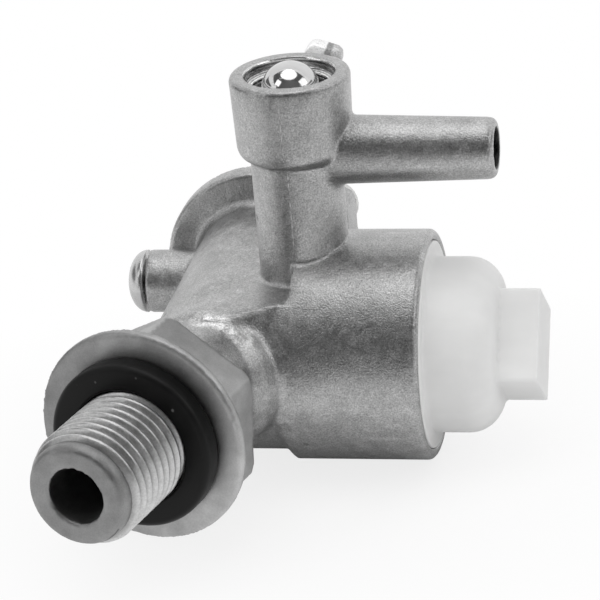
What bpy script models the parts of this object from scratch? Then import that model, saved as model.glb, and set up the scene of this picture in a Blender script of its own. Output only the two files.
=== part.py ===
"""Fuel tap with a screwed tank stud, a sediment bowl, a hose spigot and a lever valve.

Metres, +Z up. The origin is the centre of the tank flange's seat. The bowl chamber and the hose
spigot point along +X, the outlet column stands along +Z, and the lever valve faces +Y. The tank
stud leaves towards -Y, turned STUD_TILT about Z.
"""

import math

import bmesh
import bpy
from mathutils import Matrix, Quaternion, Vector

MM = 0.001

# Running and seating gap between separate pieces
GAP = 0.25 * MM

# Tank stud, with its flange, hexagon and neck, all on the stud's own axis
STUD_TILT = math.radians(14.7)
STUD_LENGTH = 11.3 * MM
STUD_CORE_RADIUS = 4.42 * MM
STUD_THREAD_RADIUS = 5.0 * MM
STUD_LEAD = 0.55 * MM
STUD_BORE_RADIUS = 2.43 * MM
STUD_BORE_DEPTH = 26.0 * MM
FLANGE_RADIUS = 9.28 * MM
FLANGE_THICKNESS = 1.0 * MM
HEX_ACROSS_FLATS = 15.0 * MM
HEX_LENGTH = 4.8 * MM
HEX_TURN = math.radians(26.0)
HEX_CHAMFER = 0.45 * MM
NECK_RADIUS = 5.4 * MM
NECK_LENGTH = 14.5 * MM

# Rubber seal on the flange
SEAL_OUTER_RADIUS = 7.25 * MM
SEAL_THICKNESS = 1.9 * MM
SEAL_EDGE = 0.55 * MM

# Valve body, the long smooth block between the neck and the valve flange
VALVE_X = 3.3 * MM
VALVE_Z = -0.15 * MM
BODY_RADIUS = 6.1 * MM
BODY_NOSE_Y = 10.6 * MM
BODY_NOSE_LENGTH = 1.8 * MM
BODY_FRONT_Y = 15.5 * MM
BODY_RIGHT_X = 11.2 * MM

# Front edge of the shoulder on the body's flat top, from the chamber to the neck
SHOULDER_EDGE = ((9.4, 13.5), (8.77, 13.08), (7.24, 12.14), (5.84, 11.41), (4.44, 11.1), (3.3, 10.8))
SHOULDER_DEPTH = 4.0 * MM
SHOULDER_DRAFT = Vector((0.5, -1.0, 0)) * MM

# Round valve flange at the back, with two screw ears
VALVE_FLANGE_Y = 36.0 * MM
VALVE_FLANGE_THICKNESS = 2.1 * MM
VALVE_FLANGE_RADIUS = 9.05 * MM
EAR_DEPTH = 4.3 * MM
EAR_HALF = 2.45 * MM
EAR_CORNER = 1.0 * MM
EAR_OFFSET_X = 6.1 * MM
EAR_OFFSET_Z = 4.45 * MM
EAR_ROOT = 2.4 * MM
VALVE_RECESS_RADIUS = 4.4 * MM
VALVE_RECESS_DEPTH = 2.2 * MM
PORT_RADIUS = 1.0 * MM
PORT_CIRCLE = 2.4 * MM
INLET_PORT_ANGLE = math.radians(240.0)
OUTLET_PORT_ANGLE = math.radians(0.0)

# Bowl chamber along +X
CHAMBER_Y = 20.73 * MM
CHAMBER_Z = -1.0 * MM
CHAMBER_RADIUS = 9.98 * MM
CHAMBER_LEFT_X = 10.2 * MM
CHAMBER_MOUTH_X = 21.34 * MM
ROOT_LEFT_X = 2.5 * MM
ROOT_EDGE = 2.0 * MM

# The chamber's left part is flatter below: a wider round, set off from the chamber's axis, trims it
BELLY_RADIUS = 11.0 * MM
BELLY_SHIFT = 1.85 * MM
BELLY_LEAN = math.radians(23.8)
BELLY_STEP_START_X = 8.5 * MM
BELLY_STEP_END_X = 10.5 * MM
MOUTH_CHAMFER = 0.35 * MM
BOWL_BORE_RADIUS = 9.05 * MM
BOWL_BORE_DEPTH = 7.7 * MM
CAVITY_RADIUS = 6.7 * MM
CAVITY_DEPTH = 11.5 * MM

# Outlet column and the cup on top of it
COLUMN_X = 10.46 * MM
COLUMN_RADIUS = 3.9 * MM
CUP_TOP_Z = 24.14 * MM
CUP_HEIGHT = 7.3 * MM
CUP_RADIUS = 5.15 * MM
CUP_TAPER = 0.2 * MM
CUP_EDGE = 0.4 * MM
CUP_MOUTH_RADIUS = 3.85 * MM
CUP_MOUTH_DEPTH = 1.1 * MM
CUP_STEP_RADIUS = 3.3 * MM
CUP_STEP_DEPTH = 2.3 * MM
BALL_RADIUS = 2.55 * MM
BALL_SINK = 2.0 * MM
OUTLET_BORE_RADIUS = 1.6 * MM

# Hose spigot from the cup's right side
SPIGOT_Z = 17.12 * MM
SPIGOT_END_X = 27.7 * MM
SPIGOT_END_RADIUS = 2.62 * MM
SPIGOT_ROOT_RADIUS = 3.05 * MM
SPIGOT_EDGE = 0.6 * MM
SPIGOT_BORE_RADIUS = 1.72 * MM

# Plugged cross drilling on the left
STUB_Y = 32.5 * MM
STUB_END_X = -6.55 * MM
STUB_RADIUS = 2.84 * MM
STUB_BORE_RADIUS = 1.6 * MM
PLUG_SHANK_LENGTH = 4.0 * MM
PLUG_DOME_HEIGHT = 1.7 * MM

# Lever valve: rubber seal, lever, spring washer, cover and its two screws
VALVE_SEAL_THICKNESS = 1.5 * MM
HUB_RADIUS = 4.0 * MM
HUB_THICKNESS = 2.0 * MM
HUB_GROOVE_WIDTH = 1.8 * MM
HUB_GROOVE_DEPTH = 0.9 * MM
LEVER_LENGTH = 20.6 * MM
LEVER_LEAN = math.radians(18.3)
LEVER_ROOT_WIDTH = 3.6 * MM
LEVER_TIP_WIDTH = 3.4 * MM
LEVER_THICKNESS = 1.5 * MM
LEVER_CORNER = 0.7 * MM
LEVER_RIB_WIDTH = 1.1 * MM
LEVER_RIB_HEIGHT = 0.7 * MM
LEVER_SWING = math.radians(90.0)
WASHER_OUTER_RADIUS = 3.9 * MM
WASHER_INNER_RADIUS = 2.3 * MM
WASHER_THICKNESS = 0.3 * MM
WASHER_WAVE = 0.1 * MM
WASHER_WAVES = 3
COVER_WALL = 0.7 * MM
SCREW_SHANK_RADIUS = 1.35 * MM
SCREW_HEAD_RADIUS = 2.3 * MM
SCREW_HEAD_HEIGHT = 1.5 * MM
SCREW_LENGTH = 4.2 * MM
SCREW_SLOT_WIDTH = 0.6 * MM
SCREW_SLOT_DEPTH = 0.7 * MM

# Nylon sediment bowl with its square key, and its ring
BOWL_SKIRT_LENGTH = 6.1 * MM
BOWL_DOME_RADIUS = 7.6 * MM
BOWL_DOME_LENGTH = 5.9 * MM
BOWL_ROUNDING = 2.9 * MM
BOWL_WALL = 1.3 * MM
KEY_LENGTH = 3.5 * MM
KEY_LONG_SIDE = 8.1 * MM
KEY_SHORT_SIDE = 7.2 * MM
KEY_TURN = math.radians(52.0)
KEY_CORNER = 0.5 * MM
RING_RADIUS = 7.75 * MM
RING_CORD_RADIUS = 0.6 * MM

# Strainer inside the chamber and the bowl
STRAINER_FLANGE_THICKNESS = 0.8 * MM
STRAINER_RADIUS = 5.5 * MM
STRAINER_LENGTH = 10.0 * MM
STRAINER_RIB_WIDTH = 1.0 * MM
STRAINER_RIB_DEPTH = 0.7 * MM
STRAINER_RIBS = 4
MESH_WALL = 0.25 * MM

# Facets round a turned piece, and the roll that keeps a drill's facets off those of what it cuts
FINE = 56
MEDIUM = 36
COARSE = 24
DRILL_ROLL = math.radians(3.7)

# Axes and points that several pieces share
LEFT = Vector((-1, 0, 0))
RIGHT = Vector((1, 0, 0))
BACK = Vector((0, 1, 0))
UP = Vector((0, 0, 1))
STUD_AXIS = Vector((-math.sin(STUD_TILT), -math.cos(STUD_TILT), 0))
VALVE_FACE_Y = VALVE_FLANGE_Y + VALVE_FLANGE_THICKNESS
CHAMBER_CENTRE = Vector((0, CHAMBER_Y, CHAMBER_Z))
COLUMN_CENTRE = Vector((COLUMN_X, CHAMBER_Y, 0))
VALVE_CENTRE = Vector((VALVE_X, 0, VALVE_Z))
VALVE_SEAT_Y = VALVE_FACE_Y - VALVE_RECESS_DEPTH
VALVE_SEAL_Y = VALVE_SEAT_Y + GAP
HUB_Y = VALVE_SEAL_Y + VALVE_SEAL_THICKNESS + GAP
LEVER_BACK_Y = HUB_Y + HUB_THICKNESS
LEVER_FRONT_Y = LEVER_BACK_Y - LEVER_THICKNESS
WASHER_Y = LEVER_BACK_Y + GAP + WASHER_WAVE
COVER_ROOF_Y = WASHER_Y + WASHER_THICKNESS + WASHER_WAVE + GAP
COVER_FOOT_Y = VALVE_FACE_Y + GAP
COVER_INNER_RADIUS = HUB_RADIUS + GAP
COVER_RADIUS = COVER_INNER_RADIUS + COVER_WALL
SHOULDER_X = CHAMBER_MOUTH_X - BOWL_BORE_DEPTH
BOWL_SKIRT_RADIUS = BOWL_BORE_RADIUS - GAP
BOWL_SKIRT_X = CHAMBER_MOUTH_X - BOWL_SKIRT_LENGTH


def clear_scene():
    for obj in list(bpy.data.objects):
        bpy.data.objects.remove(obj, do_unlink=True)


def make_collection(name):
    collection = bpy.data.collections.new(name)
    bpy.context.scene.collection.children.link(collection)
    return collection


clear_scene()
PARTS = make_collection("Fuel_Tap")
CUTTERS = make_collection("Cutters")


def material(name, colour, roughness, metallic):
    made = bpy.data.materials.new(name)
    made.use_nodes = True
    shader = made.node_tree.nodes["Principled BSDF"]
    shader.inputs["Base Color"].default_value = (*colour, 1.0)
    shader.inputs["Roughness"].default_value = roughness
    shader.inputs["Metallic"].default_value = metallic
    return made


CAST_ZINC = material("cast_zinc", (0.42, 0.42, 0.42), 0.45, 0.9)
BLACK_RUBBER = material("black_rubber", (0.02, 0.02, 0.02), 0.6, 0.0)
BRIGHT_STEEL = material("bright_steel", (0.75, 0.75, 0.76), 0.12, 1.0)
PLATED_STEEL = material("plated_steel", (0.62, 0.62, 0.6), 0.3, 1.0)
WHITE_NYLON = material("white_nylon", (0.86, 0.86, 0.84), 0.4, 0.0)
GAUZE = material("gauze", (0.55, 0.55, 0.52), 0.5, 0.6)


def place(obj, collection=PARTS, finish=None):
    collection.objects.link(obj)
    if finish:
        obj.data.materials.append(finish)
    return obj


def helper(obj):
    """Turns an object into a cutter or a joined lump, which no render shows."""
    for collection in list(obj.users_collection):
        collection.objects.unlink(obj)
    CUTTERS.objects.link(obj)
    obj.hide_render = True
    obj.display_type = "WIRE"
    return obj


def turned(name, profile, base, axis, steps=MEDIUM, finish=None):
    """A turned shape: (radius, height) points down the outer side, with height along axis from base."""
    mesh = bpy.data.meshes.new(name)
    ring = bmesh.new()
    corners = [ring.verts.new((radius, 0, height)) for radius, height in profile]
    for upper, lower in zip(corners, corners[1:]):
        ring.edges.new((upper, lower))
    if profile[0][0] > 0 and profile[-1][0] > 0:
        ring.edges.new((corners[-1], corners[0]))
    ring.to_mesh(mesh)
    ring.free()
    obj = place(bpy.data.objects.new(name, mesh), finish=finish)
    obj.location = base
    obj.rotation_mode = "QUATERNION"
    obj.rotation_quaternion = axis.to_track_quat("Z", "Y")
    screw = obj.modifiers.new("Turn", "SCREW")
    screw.steps = steps
    screw.render_steps = steps
    screw.use_merge_vertices = True
    screw.merge_threshold = 0.00001
    return obj


def rod(name, radius, start, end, steps=COARSE, finish=None):
    """A plain round bar from one point to another."""
    start = Vector(start)
    end = Vector(end)
    length = (end - start).length
    profile = [(0, length), (radius, length), (radius, 0), (0, 0)]
    bar = turned(name, profile, start, (end - start).normalized(), steps, finish)
    bar.rotation_quaternion = bar.rotation_quaternion @ Quaternion((0, 0, 1), DRILL_ROLL)
    return bar


def quarter(centre_r, centre_h, radius, start, end, count=5):
    """Points of an arc in a turned profile, from one angle to another in degrees."""
    points = []
    for step in range(count + 1):
        angle = math.radians(start + (end - start) * step / count)
        points.append((centre_r + radius * math.cos(angle), centre_h + radius * math.sin(angle)))
    return points


def prism(name, outline, depth, frame, finish=None):
    """A flat outline, given in the frame's X and Y, extruded along the frame's Z."""
    curve = bpy.data.curves.new(name, "CURVE")
    curve.dimensions = "2D"
    curve.fill_mode = "BOTH"
    curve.extrude = depth / 2
    spline = curve.splines.new("POLY")
    spline.points.add(len(outline) - 1)
    for point, (x, y) in zip(spline.points, outline):
        point.co = (x, y, 0, 1)
    spline.use_cyclic_u = True
    flat = place(bpy.data.objects.new(name, curve))
    flat.matrix_world = frame @ Matrix.Translation((0, 0, depth / 2))
    bpy.context.view_layer.update()
    graph = bpy.context.evaluated_depsgraph_get()
    mesh = bpy.data.meshes.new_from_object(flat.evaluated_get(graph))
    mesh.name = name
    welded = bmesh.new()
    welded.from_mesh(mesh)
    bmesh.ops.remove_doubles(welded, verts=welded.verts, dist=0.000001)
    bmesh.ops.recalc_face_normals(welded, faces=welded.faces)
    welded.to_mesh(mesh)
    welded.free()
    matrix = flat.matrix_world.copy()
    bpy.data.objects.remove(flat, do_unlink=True)
    obj = place(bpy.data.objects.new(name, mesh), finish=finish)
    obj.matrix_world = matrix
    return obj


def rounded_rectangle(width, height, corner, centre=(0, 0), steps=4):
    points = []
    for turn, (sx, sy) in enumerate(((1, 1), (-1, 1), (-1, -1), (1, -1))):
        cx = centre[0] + sx * (width / 2 - corner)
        cy = centre[1] + sy * (height / 2 - corner)
        for step in range(steps + 1):
            angle = math.radians(90 * turn + 90 * step / steps)
            points.append((cx + corner * math.cos(angle), cy + corner * math.sin(angle)))
    return points


def facing(axis, origin, up=UP):
    """A frame whose Z runs along axis and whose Y lies nearest to up."""
    z = axis.normalized()
    x = up.cross(z).normalized()
    y = z.cross(x)
    frame = Matrix((x, y, z)).transposed().to_4x4()
    frame.translation = origin
    return frame


def join(target, lump):
    helper(lump)
    union = target.modifiers.new("Join " + lump.name, "BOOLEAN")
    union.operation = "UNION"
    union.object = lump
    union.solver = "EXACT"


def cut(target, cutter):
    helper(cutter)
    difference = target.modifiers.new("Cut " + cutter.name, "BOOLEAN")
    difference.operation = "DIFFERENCE"
    difference.object = cutter
    difference.solver = "EXACT"


def along_stud(height):
    """A point on the stud's axis, that far out from the flange's seat."""
    return STUD_AXIS * height


def at_valve(offset_x, y, offset_z):
    """A point by its offset from the valve's axis."""
    return Vector((VALVE_X + offset_x, y, VALVE_Z + offset_z))


def port_place(angle, y):
    return at_valve(PORT_CIRCLE * math.cos(angle), y, PORT_CIRCLE * math.sin(angle))


def make_casting():
    """The die-cast housing: stud, flange, hexagon, body, chamber, column, cup, spigot and stub."""
    stud_profile = [
        (0, STUD_LENGTH),
        (STUD_CORE_RADIUS - STUD_LEAD * 0.6, STUD_LENGTH),
        (STUD_CORE_RADIUS, STUD_LENGTH - STUD_LEAD),
        (STUD_CORE_RADIUS, 0),
        (FLANGE_RADIUS - 0.2 * MM, 0),
        (FLANGE_RADIUS, -0.2 * MM),
        (FLANGE_RADIUS, 0.2 * MM - FLANGE_THICKNESS),
        (FLANGE_RADIUS - 0.2 * MM, -FLANGE_THICKNESS),
        (NECK_RADIUS, -FLANGE_THICKNESS),
        (NECK_RADIUS, -NECK_LENGTH),
        (0, -NECK_LENGTH),
    ]
    casting = turned("tap_casting", stud_profile, along_stud(0), STUD_AXIS, FINE, CAST_ZINC)

    corner_radius = HEX_ACROSS_FLATS / math.sqrt(3)
    hexagon = []
    for corner in range(6):
        angle = HEX_TURN + math.radians(60 * corner)
        hexagon.append((-corner_radius * math.cos(angle), corner_radius * math.sin(angle)))
    hex_start = FLANGE_THICKNESS / 2
    hex_end = FLANGE_THICKNESS + HEX_LENGTH
    hex_depth = hex_end - hex_start
    hex_block = prism("Hexagon", hexagon, hex_depth, facing(-STUD_AXIS, along_stud(-hex_start)))
    chamfer_profile = [
        (0, hex_depth + MM),
        (corner_radius - HEX_CHAMFER - MM, hex_depth + MM),
        (corner_radius - HEX_CHAMFER, hex_depth),
        (corner_radius + MM, hex_depth - HEX_CHAMFER - MM),
        (corner_radius + MM, -MM),
        (0, -MM),
    ]
    chamfer = turned("Hexagon_chamfer", chamfer_profile, along_stud(-hex_start), -STUD_AXIS, FINE)
    helper(chamfer)
    trim = hex_block.modifiers.new("Chamfer", "BOOLEAN")
    trim.operation = "INTERSECT"
    trim.object = chamfer
    trim.solver = "EXACT"
    join(casting, hex_block)

    body_length = VALVE_FLANGE_Y + MM - BODY_FRONT_Y
    left_end = []
    for step in range(19):
        angle = math.radians(90 + 180 * step / 18)
        left_end.append((-BODY_RADIUS * math.cos(angle), BODY_RADIUS * math.sin(angle)))
    body_right = BODY_RIGHT_X - VALVE_X
    outline = left_end + [(-body_right, -BODY_RADIUS), (-body_right, BODY_RADIUS)]
    body = prism("Valve_body", outline, body_length, facing(BACK, at_valve(0, BODY_FRONT_Y, 0)))
    join(casting, body)
    nose_radius = BODY_RADIUS - 0.05 * MM
    nose_profile = [(0, BODY_FRONT_Y + MM - BODY_NOSE_Y), (nose_radius, BODY_FRONT_Y + MM - BODY_NOSE_Y)]
    nose_profile += [(nose_radius, BODY_NOSE_LENGTH), (NECK_RADIUS - 0.2 * MM, 0), (0, 0)]
    join(casting, turned("Body_nose", nose_profile, at_valve(0, BODY_NOSE_Y, 0), BACK, MEDIUM))

    chamber_length = CHAMBER_MOUTH_X - CHAMBER_LEFT_X
    chamber_profile = [(0, chamber_length)]
    chamber_profile += [(CHAMBER_RADIUS - MOUTH_CHAMFER, chamber_length)]
    chamber_profile += [(CHAMBER_RADIUS, chamber_length - MOUTH_CHAMFER)]
    chamber_profile += [(CHAMBER_RADIUS, 0.1 * MM), (CHAMBER_RADIUS - 0.1 * MM, 0), (0, 0)]
    chamber_base = CHAMBER_CENTRE + RIGHT * CHAMBER_LEFT_X
    join(casting, turned("Chamber", chamber_profile, chamber_base, RIGHT, FINE))

    body_top = VALVE_Z + BODY_RADIUS
    root_radius = CHAMBER_RADIUS - 0.01 * MM
    root_length = BELLY_STEP_END_X + MM - ROOT_LEFT_X
    root_profile = [(0, root_length), (root_radius, root_length)]
    root_profile += quarter(root_radius - ROOT_EDGE, ROOT_EDGE, ROOT_EDGE, 0, -90, 4)
    root_profile += [(0, 0)]
    root = turned("Chamber_root", root_profile, CHAMBER_CENTRE + RIGHT * ROOT_LEFT_X, RIGHT, FINE)

    belly_start = ROOT_LEFT_X - MM
    belly_profile = [(0, root_length + 2 * MM)]
    belly_profile += [(BELLY_RADIUS + BELLY_SHIFT, root_length + 2 * MM)]
    for step in range(6):
        share = 1 - step / 5
        swell = share * share * (3 - 2 * share)
        height = BELLY_STEP_START_X + (BELLY_STEP_END_X - BELLY_STEP_START_X) * share - belly_start
        belly_profile.append((BELLY_RADIUS + BELLY_SHIFT * swell, height))
    belly_profile += [(BELLY_RADIUS, 0), (0, 0)]
    lean = Vector((0, math.sin(BELLY_LEAN), math.cos(BELLY_LEAN)))
    belly_base = CHAMBER_CENTRE + RIGHT * belly_start + lean * BELLY_SHIFT
    belly = turned("Belly", belly_profile, belly_base, RIGHT, FINE)

    room_depth = body_top - 0.05 * MM - CHAMBER_Z + CHAMBER_RADIUS + MM
    room_base = Vector((ROOT_LEFT_X + root_length / 2, CHAMBER_Y, CHAMBER_Z - CHAMBER_RADIUS - MM))
    room_outline = rounded_rectangle(3 * CHAMBER_RADIUS, 3 * CHAMBER_RADIUS, MM)
    room = prism("Root_room", room_outline, room_depth, facing(UP, room_base, BACK))
    for trimmer in (belly, room):
        helper(trimmer)
        trim = root.modifiers.new("Trim " + trimmer.name, "BOOLEAN")
        trim.operation = "INTERSECT"
        trim.object = trimmer
        trim.solver = "EXACT"
    join(casting, root)

    shoulder_outline = [(x * MM, y * MM) for x, y in SHOULDER_EDGE]
    shoulder_back = BODY_FRONT_Y + 2 * MM
    shoulder_outline += [(SHOULDER_EDGE[-1][0] * MM, shoulder_back), (SHOULDER_EDGE[0][0] * MM, shoulder_back)]
    shoulder_frame = facing(UP, Vector((0, 0, body_top - 0.02 * MM - SHOULDER_DEPTH)), BACK)
    shoulder = prism("Shoulder", shoulder_outline, SHOULDER_DEPTH, shoulder_frame)
    for vertex in shoulder.data.vertices:
        if vertex.co.z < 0:
            vertex.co += SHOULDER_DRAFT
    join(casting, shoulder)

    cup_base = CUP_TOP_Z - CUP_HEIGHT
    foot_z = CHAMBER_Z + CAVITY_RADIUS / 2
    cup_profile = [(0, CUP_TOP_Z)]
    cup_profile += quarter(CUP_RADIUS - CUP_EDGE, CUP_TOP_Z - CUP_EDGE, CUP_EDGE, 90, 0, 4)
    overhang = CUP_RADIUS - CUP_TAPER - COLUMN_RADIUS
    cup_profile += quarter(COLUMN_RADIUS, cup_base + overhang, overhang, 0, -90, 4)
    cup_profile += [(COLUMN_RADIUS, foot_z), (0, foot_z)]
    join(casting, turned("Column", cup_profile, COLUMN_CENTRE, UP, FINE))

    spigot_length = SPIGOT_END_X - COLUMN_X
    spigot_base = COLUMN_CENTRE + UP * SPIGOT_Z
    spigot_profile = [(0, spigot_length)]
    edge_radius = SPIGOT_END_RADIUS - SPIGOT_EDGE
    spigot_profile += quarter(edge_radius, spigot_length - SPIGOT_EDGE, SPIGOT_EDGE, 90, 0, 4)
    spigot_profile += [(SPIGOT_ROOT_RADIUS, 0), (0, 0)]
    join(casting, turned("Spigot", spigot_profile, spigot_base, RIGHT, MEDIUM))

    flange_base = at_valve(0, VALVE_FLANGE_Y, 0)
    flange_profile = [
        (0, VALVE_FLANGE_THICKNESS),
        (VALVE_FLANGE_RADIUS - 0.15 * MM, VALVE_FLANGE_THICKNESS),
        (VALVE_FLANGE_RADIUS, VALVE_FLANGE_THICKNESS - 0.15 * MM),
        (VALVE_FLANGE_RADIUS, 0.15 * MM),
        (VALVE_FLANGE_RADIUS - 0.15 * MM, 0),
        (0, 0),
    ]
    join(casting, turned("Valve_flange", flange_profile, flange_base, BACK, FINE))
    for side in (1, -1):
        centre = at_valve(side * EAR_OFFSET_X, VALVE_FACE_Y - EAR_DEPTH, side * EAR_OFFSET_Z)
        ear_outline = rounded_rectangle(
            2 * EAR_HALF + EAR_ROOT,
            2 * EAR_HALF,
            EAR_CORNER,
            (side * EAR_ROOT / 2, 0),
        )
        name = "Ear_upper" if side > 0 else "Ear_lower"
        join(casting, prism(name, ear_outline, EAR_DEPTH - 0.05 * MM, facing(BACK, centre)))

    stub_root = at_valve(0, STUB_Y, 0)
    stub_profile = [(0, VALVE_X - STUB_END_X)]
    stub_profile += [(STUB_RADIUS - 0.15 * MM, VALVE_X - STUB_END_X)]
    stub_profile += [(STUB_RADIUS, VALVE_X - STUB_END_X - 0.15 * MM)]
    stub_profile += [(STUB_RADIUS, 0), (0, 0)]
    join(casting, turned("Stub", stub_profile, stub_root, LEFT, MEDIUM))

    cut_casting(casting)
    return casting


def cut_casting(casting):
    """Bores, seats and galleries, drilled from outside as the real ones are."""
    stud_tip = along_stud(STUD_LENGTH + MM)
    stud_cut = rod("Stud_bore", STUD_BORE_RADIUS, stud_tip, along_stud(STUD_LENGTH - STUD_BORE_DEPTH))
    cut(casting, stud_cut)

    bore_profile = [
        (0, CHAMBER_MOUTH_X + MM),
        (BOWL_BORE_RADIUS + MOUTH_CHAMFER, CHAMBER_MOUTH_X + MM),
        (BOWL_BORE_RADIUS + MOUTH_CHAMFER, CHAMBER_MOUTH_X),
        (BOWL_BORE_RADIUS, CHAMBER_MOUTH_X - MOUTH_CHAMFER),
        (BOWL_BORE_RADIUS, SHOULDER_X),
        (CAVITY_RADIUS, SHOULDER_X),
        (CAVITY_RADIUS, CHAMBER_MOUTH_X - CAVITY_DEPTH),
        (0, CHAMBER_MOUTH_X - CAVITY_DEPTH),
    ]
    cut(casting, turned("Bowl_bore", bore_profile, CHAMBER_CENTRE, RIGHT, FINE))

    ball_centre_z = CUP_TOP_Z - BALL_SINK
    seat_z = ball_centre_z - BALL_RADIUS - GAP
    cup_cut_profile = [
        (0, CUP_TOP_Z + MM),
        (CUP_MOUTH_RADIUS, CUP_TOP_Z + MM),
        (CUP_MOUTH_RADIUS, CUP_TOP_Z - CUP_MOUTH_DEPTH),
        (CUP_STEP_RADIUS, CUP_TOP_Z - CUP_MOUTH_DEPTH),
        (CUP_STEP_RADIUS, CUP_TOP_Z - CUP_STEP_DEPTH),
        (BALL_RADIUS + GAP, CUP_TOP_Z - CUP_STEP_DEPTH),
        (BALL_RADIUS + GAP, ball_centre_z - 0.6 * BALL_RADIUS),
        (OUTLET_BORE_RADIUS, seat_z),
        (OUTLET_BORE_RADIUS, CHAMBER_Z + CAVITY_RADIUS / 2),
        (0, CHAMBER_Z + CAVITY_RADIUS / 2),
    ]
    cut(casting, turned("Cup_bore", cup_cut_profile, COLUMN_CENTRE, UP, MEDIUM))

    spigot_start = COLUMN_CENTRE + UP * SPIGOT_Z + LEFT * 0.3 * SPIGOT_BORE_RADIUS
    spigot_out = Vector((SPIGOT_END_X + MM, CHAMBER_Y, SPIGOT_Z))
    cut(casting, rod("Spigot_bore", SPIGOT_BORE_RADIUS, spigot_start, spigot_out))

    recess_end = at_valve(0, VALVE_FACE_Y + MM, 0)
    recess = rod("Valve_recess", VALVE_RECESS_RADIUS, at_valve(0, VALVE_SEAT_Y, 0), recess_end, MEDIUM)
    cut(casting, recess)

    inlet_front = along_stud(STUD_LENGTH - STUD_BORE_DEPTH).y - STUD_BORE_RADIUS
    inlet_back = port_place(INLET_PORT_ANGLE, VALVE_SEAT_Y + MM)
    inlet = rod("Inlet_gallery", PORT_RADIUS, port_place(INLET_PORT_ANGLE, inlet_front), inlet_back, 20)
    cut(casting, inlet)

    outlet_y = CHAMBER_Y + CAVITY_RADIUS - 2 * PORT_RADIUS
    outlet_back = port_place(OUTLET_PORT_ANGLE, VALVE_SEAT_Y + MM)
    outlet = rod("Outlet_gallery", PORT_RADIUS, port_place(OUTLET_PORT_ANGLE, outlet_y), outlet_back, 20)
    cut(casting, outlet)
    link_start = port_place(OUTLET_PORT_ANGLE, outlet_y + PORT_RADIUS) + LEFT * PORT_RADIUS * 0.4
    link_end = link_start + RIGHT * (CHAMBER_MOUTH_X - link_start.x - CAVITY_DEPTH + MM)
    cut(casting, rod("Chamber_link", PORT_RADIUS * 0.9, link_start, link_end, 20))

    stub_out = at_valve(STUB_END_X - VALVE_X - MM, STUB_Y, 0)
    stub_in = at_valve(PORT_CIRCLE - 0.3 * PORT_RADIUS, STUB_Y, 0)
    cut(casting, rod("Stub_bore", STUB_BORE_RADIUS, stub_in, stub_out))

    for side in (1, -1):
        top = at_valve(side * EAR_OFFSET_X, VALVE_FACE_Y + MM, side * EAR_OFFSET_Z)
        bottom = top - BACK * (SCREW_LENGTH + MM)
        name = "Screw_hole_upper" if side > 0 else "Screw_hole_lower"
        cut(casting, rod(name, SCREW_SHANK_RADIUS + GAP, bottom, top, 20))


def make_tank_seal():
    """Flat rubber washer that seals the stud's flange against the tank."""
    inner = STUD_THREAD_RADIUS + 0.05 * MM
    profile = quarter(SEAL_OUTER_RADIUS - SEAL_EDGE, SEAL_THICKNESS - SEAL_EDGE, SEAL_EDGE, 90, 0, 3)
    profile += [(SEAL_OUTER_RADIUS, SEAL_EDGE / 2), (SEAL_OUTER_RADIUS - SEAL_EDGE / 2, 0)]
    profile += [(inner, 0), (inner, SEAL_THICKNESS - SEAL_EDGE / 2), (inner + SEAL_EDGE / 2, SEAL_THICKNESS)]
    turned("tank_seal", profile, along_stud(GAP), STUD_AXIS, FINE, BLACK_RUBBER)


def make_gallery_ball():
    """Steel ball pressed into the cup, which closes the top of the outlet drilling."""
    mesh = bpy.data.meshes.new("gallery_ball")
    ball = bmesh.new()
    bmesh.ops.create_uvsphere(ball, u_segments=24, v_segments=14, radius=BALL_RADIUS)
    ball.to_mesh(mesh)
    ball.free()
    mesh.shade_smooth()
    obj = place(bpy.data.objects.new("gallery_ball", mesh), finish=BRIGHT_STEEL)
    obj.location = COLUMN_CENTRE + UP * (CUP_TOP_Z - BALL_SINK)


def make_cross_plug():
    """Domed rivet plug that closes the cross drilling."""
    shank = STUB_BORE_RADIUS - GAP
    profile = [(0, PLUG_DOME_HEIGHT)]
    for step in range(1, 8):
        angle = math.radians(90 - 90 * step / 7)
        profile.append((STUB_RADIUS * math.cos(angle), PLUG_DOME_HEIGHT * math.sin(angle)))
    profile += [(shank, 0), (shank, -PLUG_SHANK_LENGTH), (0, -PLUG_SHANK_LENGTH)]
    base = at_valve(STUB_END_X - GAP - VALVE_X, STUB_Y, 0)
    turned("cross_plug", profile, base, LEFT, MEDIUM, BRIGHT_STEEL)


def make_valve_seal():
    """Rubber disc with two port holes, which the lever's hub wipes over."""
    outer = VALVE_RECESS_RADIUS - GAP
    start = at_valve(0, VALVE_SEAL_Y, 0)
    end = at_valve(0, VALVE_SEAL_Y + VALVE_SEAL_THICKNESS, 0)
    seal = rod("valve_seal", outer, start, end, MEDIUM, BLACK_RUBBER)
    for angle, name in ((INLET_PORT_ANGLE, "Seal_inlet"), (OUTLET_PORT_ANGLE, "Seal_outlet")):
        hole_start = port_place(angle, VALVE_SEAL_Y - MM)
        hole_end = port_place(angle, VALVE_SEAL_Y + VALVE_SEAL_THICKNESS + MM)
        cut(seal, rod(name, PORT_RADIUS, hole_start, hole_end, 16))


def lever_frame(y):
    """The lever's own frame: Y runs out along the arm, Z runs back, at the given depth."""
    arm = Vector((math.sin(LEVER_LEAN), 0, math.cos(LEVER_LEAN)))
    return facing(BACK, at_valve(0, y, 0), arm)


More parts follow.
